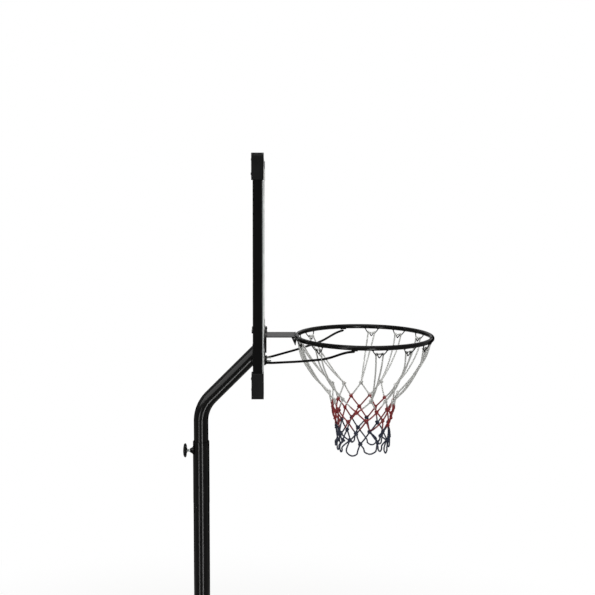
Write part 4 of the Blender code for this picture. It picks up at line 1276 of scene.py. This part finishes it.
twist_step = 4 * math.pi / KNOT_POINTS
knot_path = trefoil(KNOT_SIZE, KNOT_POINTS)
first_knot = wire([knot_path], profile=section, closed=True, twist=lambda i: i * twist_step)
knots = []
for place in [knot for row in KNOTS for knot in row]:
    out = math.atan2(place.y, place.x - RIM_CENTRE.x)
    turn = Matrix.Rotation(out, 4, "Z") @ Matrix.Rotation(math.radians(90), 4, "Y")
    spin = Matrix.Rotation(random.uniform(0, KNOT_SPIN), 4, "Z")
    tilt = Matrix.Rotation(random.uniform(-KNOT_TILT, KNOT_TILT), 4, "X")
    knots.append(duplicate(first_knot, Matrix.Translation(place) @ turn @ spin @ tilt))
finish(joined(*knots), "net_knots", net_cord, "net_cord", "hoop_assembly", angle=70)
bpy.data.objects.remove(first_knot, do_unlink=True)
bpy.data.objects.remove(section, do_unlink=True)

# %% [markdown]
# The bolts are M8 with hexagon heads. A head is a six-sided cylinder whose top corners are
# turned off by a cone, so it is cut to the part that it shares with a turned blank. The end of
# each shank has a real thread, because it sticks out of its nut.

# %% Bolts
BOLT_R = 0.0040
BOLT_PITCH = 0.00125
HEAD_R = 0.0075
HEAD_THICK = 0.0055
THREAD_LENGTH = 0.024
# The rim's upper bolts get the darker plating, and end this much before their solids do.
BLACKED = ("rim_bolt_upper", "rim_nut_upper")
UPPER_END_SHORT = 0.0035
# The turned blank's outline round a head, as shares of its radius and heights over its face.
# The blank goes on past the other face.
HEAD_BLANK = ((0, -0.001), (0.84, -0.0001), (1.02, 0.0009))
BLANK_REACH = 0.001


def block(size, centre=(0, 0, 0)):
    """A box of this size."""
    cube = added(bpy.ops.mesh.primitive_cube_add, size=1.0)
    return placed(cube, Matrix.Translation(centre) @ Matrix.Diagonal((*size, 1)))


def hex_head():
    """A chamfered hexagon head below z = 0."""
    size = dict(radius=HEAD_R, depth=HEAD_THICK, location=(0, 0, -HEAD_THICK / 2))
    head = placed(added(bpy.ops.mesh.primitive_cylinder_add, vertices=6, **size))
    outline = [(HEAD_R * share, up - HEAD_THICK) for share, up in HEAD_BLANK]
    blank = turned([*outline, (outline[-1][0], BLANK_REACH), (0, BLANK_REACH)], closed=False, steps=48)
    return combined(head, blank, "INTERSECT")


def threaded_bolt(node, axis):
    """Makes a bolt where its solid is, with its head at the low end of the axis."""
    low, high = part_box(node)
    place = (low + high) / 2
    place[axis] = low[axis] + HEAD_THICK
    is_blacked = node.startswith(BLACKED)
    length = high[axis] - place[axis] - (UPPER_END_SHORT if is_blacked else 0)
    plain = length - THREAD_LENGTH
    shank = turned(((0, 0), (BOLT_R, 0), (BOLT_R, plain), (0, plain)), closed=False, steps=32)
    thread = threaded(BOLT_R, BOLT_PITCH, THREAD_LENGTH, Matrix.Translation((0, 0, plain)))
    turned_over = posed(place, 90, "Y") if axis == 0 else posed(place, -90, "X")
    bolt = placed(joined(shank, thread, hex_head()), turned_over)
    if is_blacked:
        return finish(bolt, node + "_blacked", dark_zinc, "black_steel", BODY_OF[node], node)
    return finish(bolt, node + "_plated", zinc, "zinc_steel", BODY_OF[node], node)


for node in sorted(frame["nodes"]):
    if node.startswith("rim_bolt") or node == "pole_bolt":
        bolt = threaded_bolt(node, 0)
        if node.startswith("rim_bolt_lower"):
            # These heads are behind the frame, and are coated black as it is.
            bolt.data.materials.append(black_coat)
            face_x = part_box(node)[0].x + HEAD_THICK
            for face in bolt.data.polygons:
                face.material_index = int(face.center.x < face_x)
    elif node == "strut_bolt":
        threaded_bolt(node, 1)

# %% [markdown]
# The nuts, the screws at the struts' feet and the axle are small or half hidden, so they keep
# the solids' shapes, with their edges rounded off.

# %% Nuts, foot bolts and the axle
for node in sorted(frame["nodes"]):
    if node.startswith("rim_nut"):
        slot_name = "black_steel" if node.startswith(BLACKED) else "zinc_steel"
        refined(node, node + "_blacked", 0.35, dark_zinc, slot_name, segments=2)
    elif "nut" in node or "axle" in node or "foot_bolt" in node:
        refined(node, node + "_plated", 0.35, zinc, "zinc_steel", segments=2)

# %% [markdown]
# Each corner cap is held by two pan-head screws from the back. The head is turned as a low
# dome, and a cross is cut into it for the driver.

# %% Cap screws
# The head's section, as radius and height. The cross is cut this long, wide and deep, half of
# it above the head.
SCREW_HEAD = ((0, 0), (0.0046, 0), (0.0046, 0.0005), (0.0036, 0.0013), (0.002, 0.0017), (0, 0.0018))
RECESS = (0.0042, 0.0009, 0.0022)
# The screws' places, from the two outer edges of the cap.
SCREW_INSET = (0.018, 0.0595)


def pan_head():
    """A domed screw head above z = 0 with a cross recess."""
    head = turned(SCREW_HEAD, closed=False, steps=32)
    long, wide, deep = RECESS
    for size in ((long, wide, deep), (wide, long, deep)):
        combined(head, block(size, (0, 0, SCREW_HEAD[-1][1])), "DIFFERENCE")
    return head


first_head = pan_head()
for node in CORNERS:
    low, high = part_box(node)
    outer_y, inward_y = (high.y, -1) if node.endswith("left") else (low.y, 1)
    outer_z, inward_z = (low.z, 1) if "bottom" in node else (high.z, -1)
    pair = []
    for across, along in (SCREW_INSET, reversed(SCREW_INSET)):
        place = (low.x, outer_y + inward_y * across, outer_z + inward_z * along)
        pair.append(duplicate(first_head, posed(place, -90, "Y")))
    name = node.replace("corner_cap", "cap_screws")
    finish(joined(*pair), name, dark_zinc, "black_steel", "hoop_assembly")
bpy.data.objects.remove(first_head, do_unlink=True)

# %% [markdown]
# The tank is one hollow blow-moulded shell, filled with water or sand through the neck at its
# back. Its edges are soft everywhere, because hot plastic can't be blown into a sharp corner.
# Its long sides have rows of shallow upright flutes, above and below the moulding's flange,
# which stiffen the thin wall. Each flute is the dent that a long rounded bar would leave.

# %% Tank
# Where each side runs from and to, as x and y.
SIDE_REAR = Vector((-0.900, 0.360))
SIDE_FRONT = Vector((0.170, 0.270))
# Nine flutes stand along each side, 85 mm apart.
FLUTE_XS = [-0.735 + 0.085 * step for step in range(9)]
# The lower and upper end of each row of flutes, and how far their bars' axes stay outside.
FLUTE_BANDS = ((0.010, 0.074, 0.0105), (0.091, 0.146, 0.0095))
FLUTE_R = 0.024
# The rounded end of a bar, as shares of its radius and distances from its end.
FLUTE_END = ((0.0, 0.0), (0.55, 0.0012), (0.88, 0.005), (1.0, 0.012))


def flute_bar(x, side, low, high, out):
    """A rounded upright bar beside the tank, which dents its wall."""
    run = SIDE_FRONT - SIDE_REAR
    y = SIDE_REAR.y + run.y * (x - SIDE_REAR.x) / run.x
    outwards = Vector((-run.y, run.x)).normalized() * out
    lower_end = [(FLUTE_R * share, low + rise) for share, rise in FLUTE_END]
    upper_end = [(FLUTE_R * share, high - rise) for share, rise in reversed(FLUTE_END)]
    place = Matrix.Translation((x + outwards.x, side * (y + outwards.y), 0))
    return turned(lower_end + upper_end, closed=False, steps=48, place=place)


tank = rounded_edges(copied("base_tank"), 2.2, limit=32)
bars = [flute_bar(x, side, *band) for x in FLUTE_XS for side in (1, -1) for band in FLUTE_BANDS]
combined(tank, joined(*bars), "DIFFERENCE")
finish(tank, "tank_blow_moulded", polyethylene, "black_plastic", "stand", "base_tank")

# %% [markdown]
# The filler cap is a moulded screw cap with a bar across its top to turn it by, and fine
# grooves round its skirt for the fingers.

# %% Filler cap
GRIP_GROOVES = 36
GRIP_GROOVE_R = 0.0012
GRIP_GROOVE_LENGTH = 0.013
GRIP_MIDDLE = 0.0082

filler = rounded_edges(copied("filler_cap"), 0.8, limit=40)
cap_low, cap_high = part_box("filler_cap")
centre = ((cap_low.x + cap_high.x) / 2, (cap_low.y + cap_high.y) / 2, cap_low.z + GRIP_MIDDLE)
grooves = []
for place in ring_path(centre, (cap_high.x - cap_low.x) / 2, axis="Z", count=GRIP_GROOVES):
    size = dict(radius=GRIP_GROOVE_R, depth=GRIP_GROOVE_LENGTH, location=place)
    grooves.append(placed(added(bpy.ops.mesh.primitive_cylinder_add, vertices=12, **size)))
combined(filler, joined(*grooves), "DIFFERENCE")
finish(filler, "filler_cap_moulded", polypropylene, "black_plastic", "filler_cap", "filler_cap")

# %% [markdown]
# Each strut is a round tube whose ends are pressed flat and bent, so that one bolt holds each.

# %% Struts
for side in ("left", "right"):
    refined(f"strut_{side}", f"strut_{side}_coated", 0.3, black_coat, "black_steel", limit=60)

# %% [markdown]
# The wheels are moulded in one piece. A thin web joins the hub to the tread, and ribs on both
# sides stiffen it. The wheel's section is spun first. Then the ribs are joined on, and every
# fourth face of the tread is inset and pushed in, which makes the cross grooves.

# %% Wheels
WHEEL_R = 0.065
WHEEL_HALF = 0.020
WEB_HALF = 0.0030
# Half of the wheel's section, from its bore over the hub, the web and the tread's edge.
WHEEL_SIDE = (
    (0.0056, WHEEL_HALF),
    (0.0150, WHEEL_HALF),
    (0.0165, WHEEL_HALF - 0.0015),
    (0.0185, WEB_HALF + 0.0008),
    (0.0205, WEB_HALF),
    (0.0500, WEB_HALF),
    (0.0515, WEB_HALF + 0.0010),
    (0.0530, WHEEL_HALF - 0.0040),
    (0.0540, WHEEL_HALF - 0.0030),
    (0.0600, WHEEL_HALF - 0.0030),
    (0.0632, WHEEL_HALF - 0.0055),
    (WHEEL_R, WHEEL_HALF - 0.0095),
)
WHEEL_RIBS = 6
RIB_SIZE = (0.0385, 0.0032, 0.0230)
RIB_MIDDLE_R = 0.0345
# Along the axle, a rib is this much wider at the tread than at the hub.
RIB_FLARE = 1.18
TREAD_STEPS = 96
TREAD_EVERY = 4
TREAD_R = WHEEL_R - 0.002
TREAD_INSET, TREAD_DEPTH = 0.0006, 0.0016


def ribbed_wheel():
    """A wheel about the Z axis, centred on z = 0."""
    wheel = turned([*WHEEL_SIDE, *[(r, -z) for r, z in reversed(WHEEL_SIDE)]], steps=TREAD_STEPS)
    ribs = []
    for step in range(WHEEL_RIBS):
        rib = block(RIB_SIZE, (RIB_MIDDLE_R, 0, 0))
        with editing(rib):
            choose(rib, "VERT", lambda v: v.co.x > RIB_MIDDLE_R)
            bpy.ops.transform.resize(value=(1, 1, RIB_FLARE), center_override=(0, 0, 0))
        turn = Matrix.Rotation(2 * math.pi * step / WHEEL_RIBS, 4, "Z")
        ribs.append(placed(rounded_edges(rib, 0.6), turn))
    return combined(wheel, joined(*ribs), "UNION")


def is_groove(face):
    """Whether a tread face is one of every few round the wheel."""
    centre = face.calc_center_median()
    sector = round(math.degrees(math.atan2(centre.y, centre.x)) % 360 / (360 / TREAD_STEPS) - 0.5)
    is_tread = abs(face.normal.z) < 0.1 and math.hypot(centre.x, centre.y) > TREAD_R
    return is_tread and sector % TREAD_EVERY == 0


first_wheel = ribbed_wheel()
with editing(first_wheel):
    choose(first_wheel, "FACE", is_groove)
    bpy.ops.mesh.inset(thickness=TREAD_INSET, depth=-TREAD_DEPTH)
rounded_edges(first_wheel, 0.3, segments=2)
for node in ("wheel_left", "wheel_right"):
    low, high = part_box(node)
    wheel = duplicate(first_wheel, posed((low + high) / 2, 90, "X"))
    finish(wheel, node + "_moulded", polyethylene, "black_plastic", BODY_OF[node], node)
bpy.data.objects.remove(first_wheel, do_unlink=True)
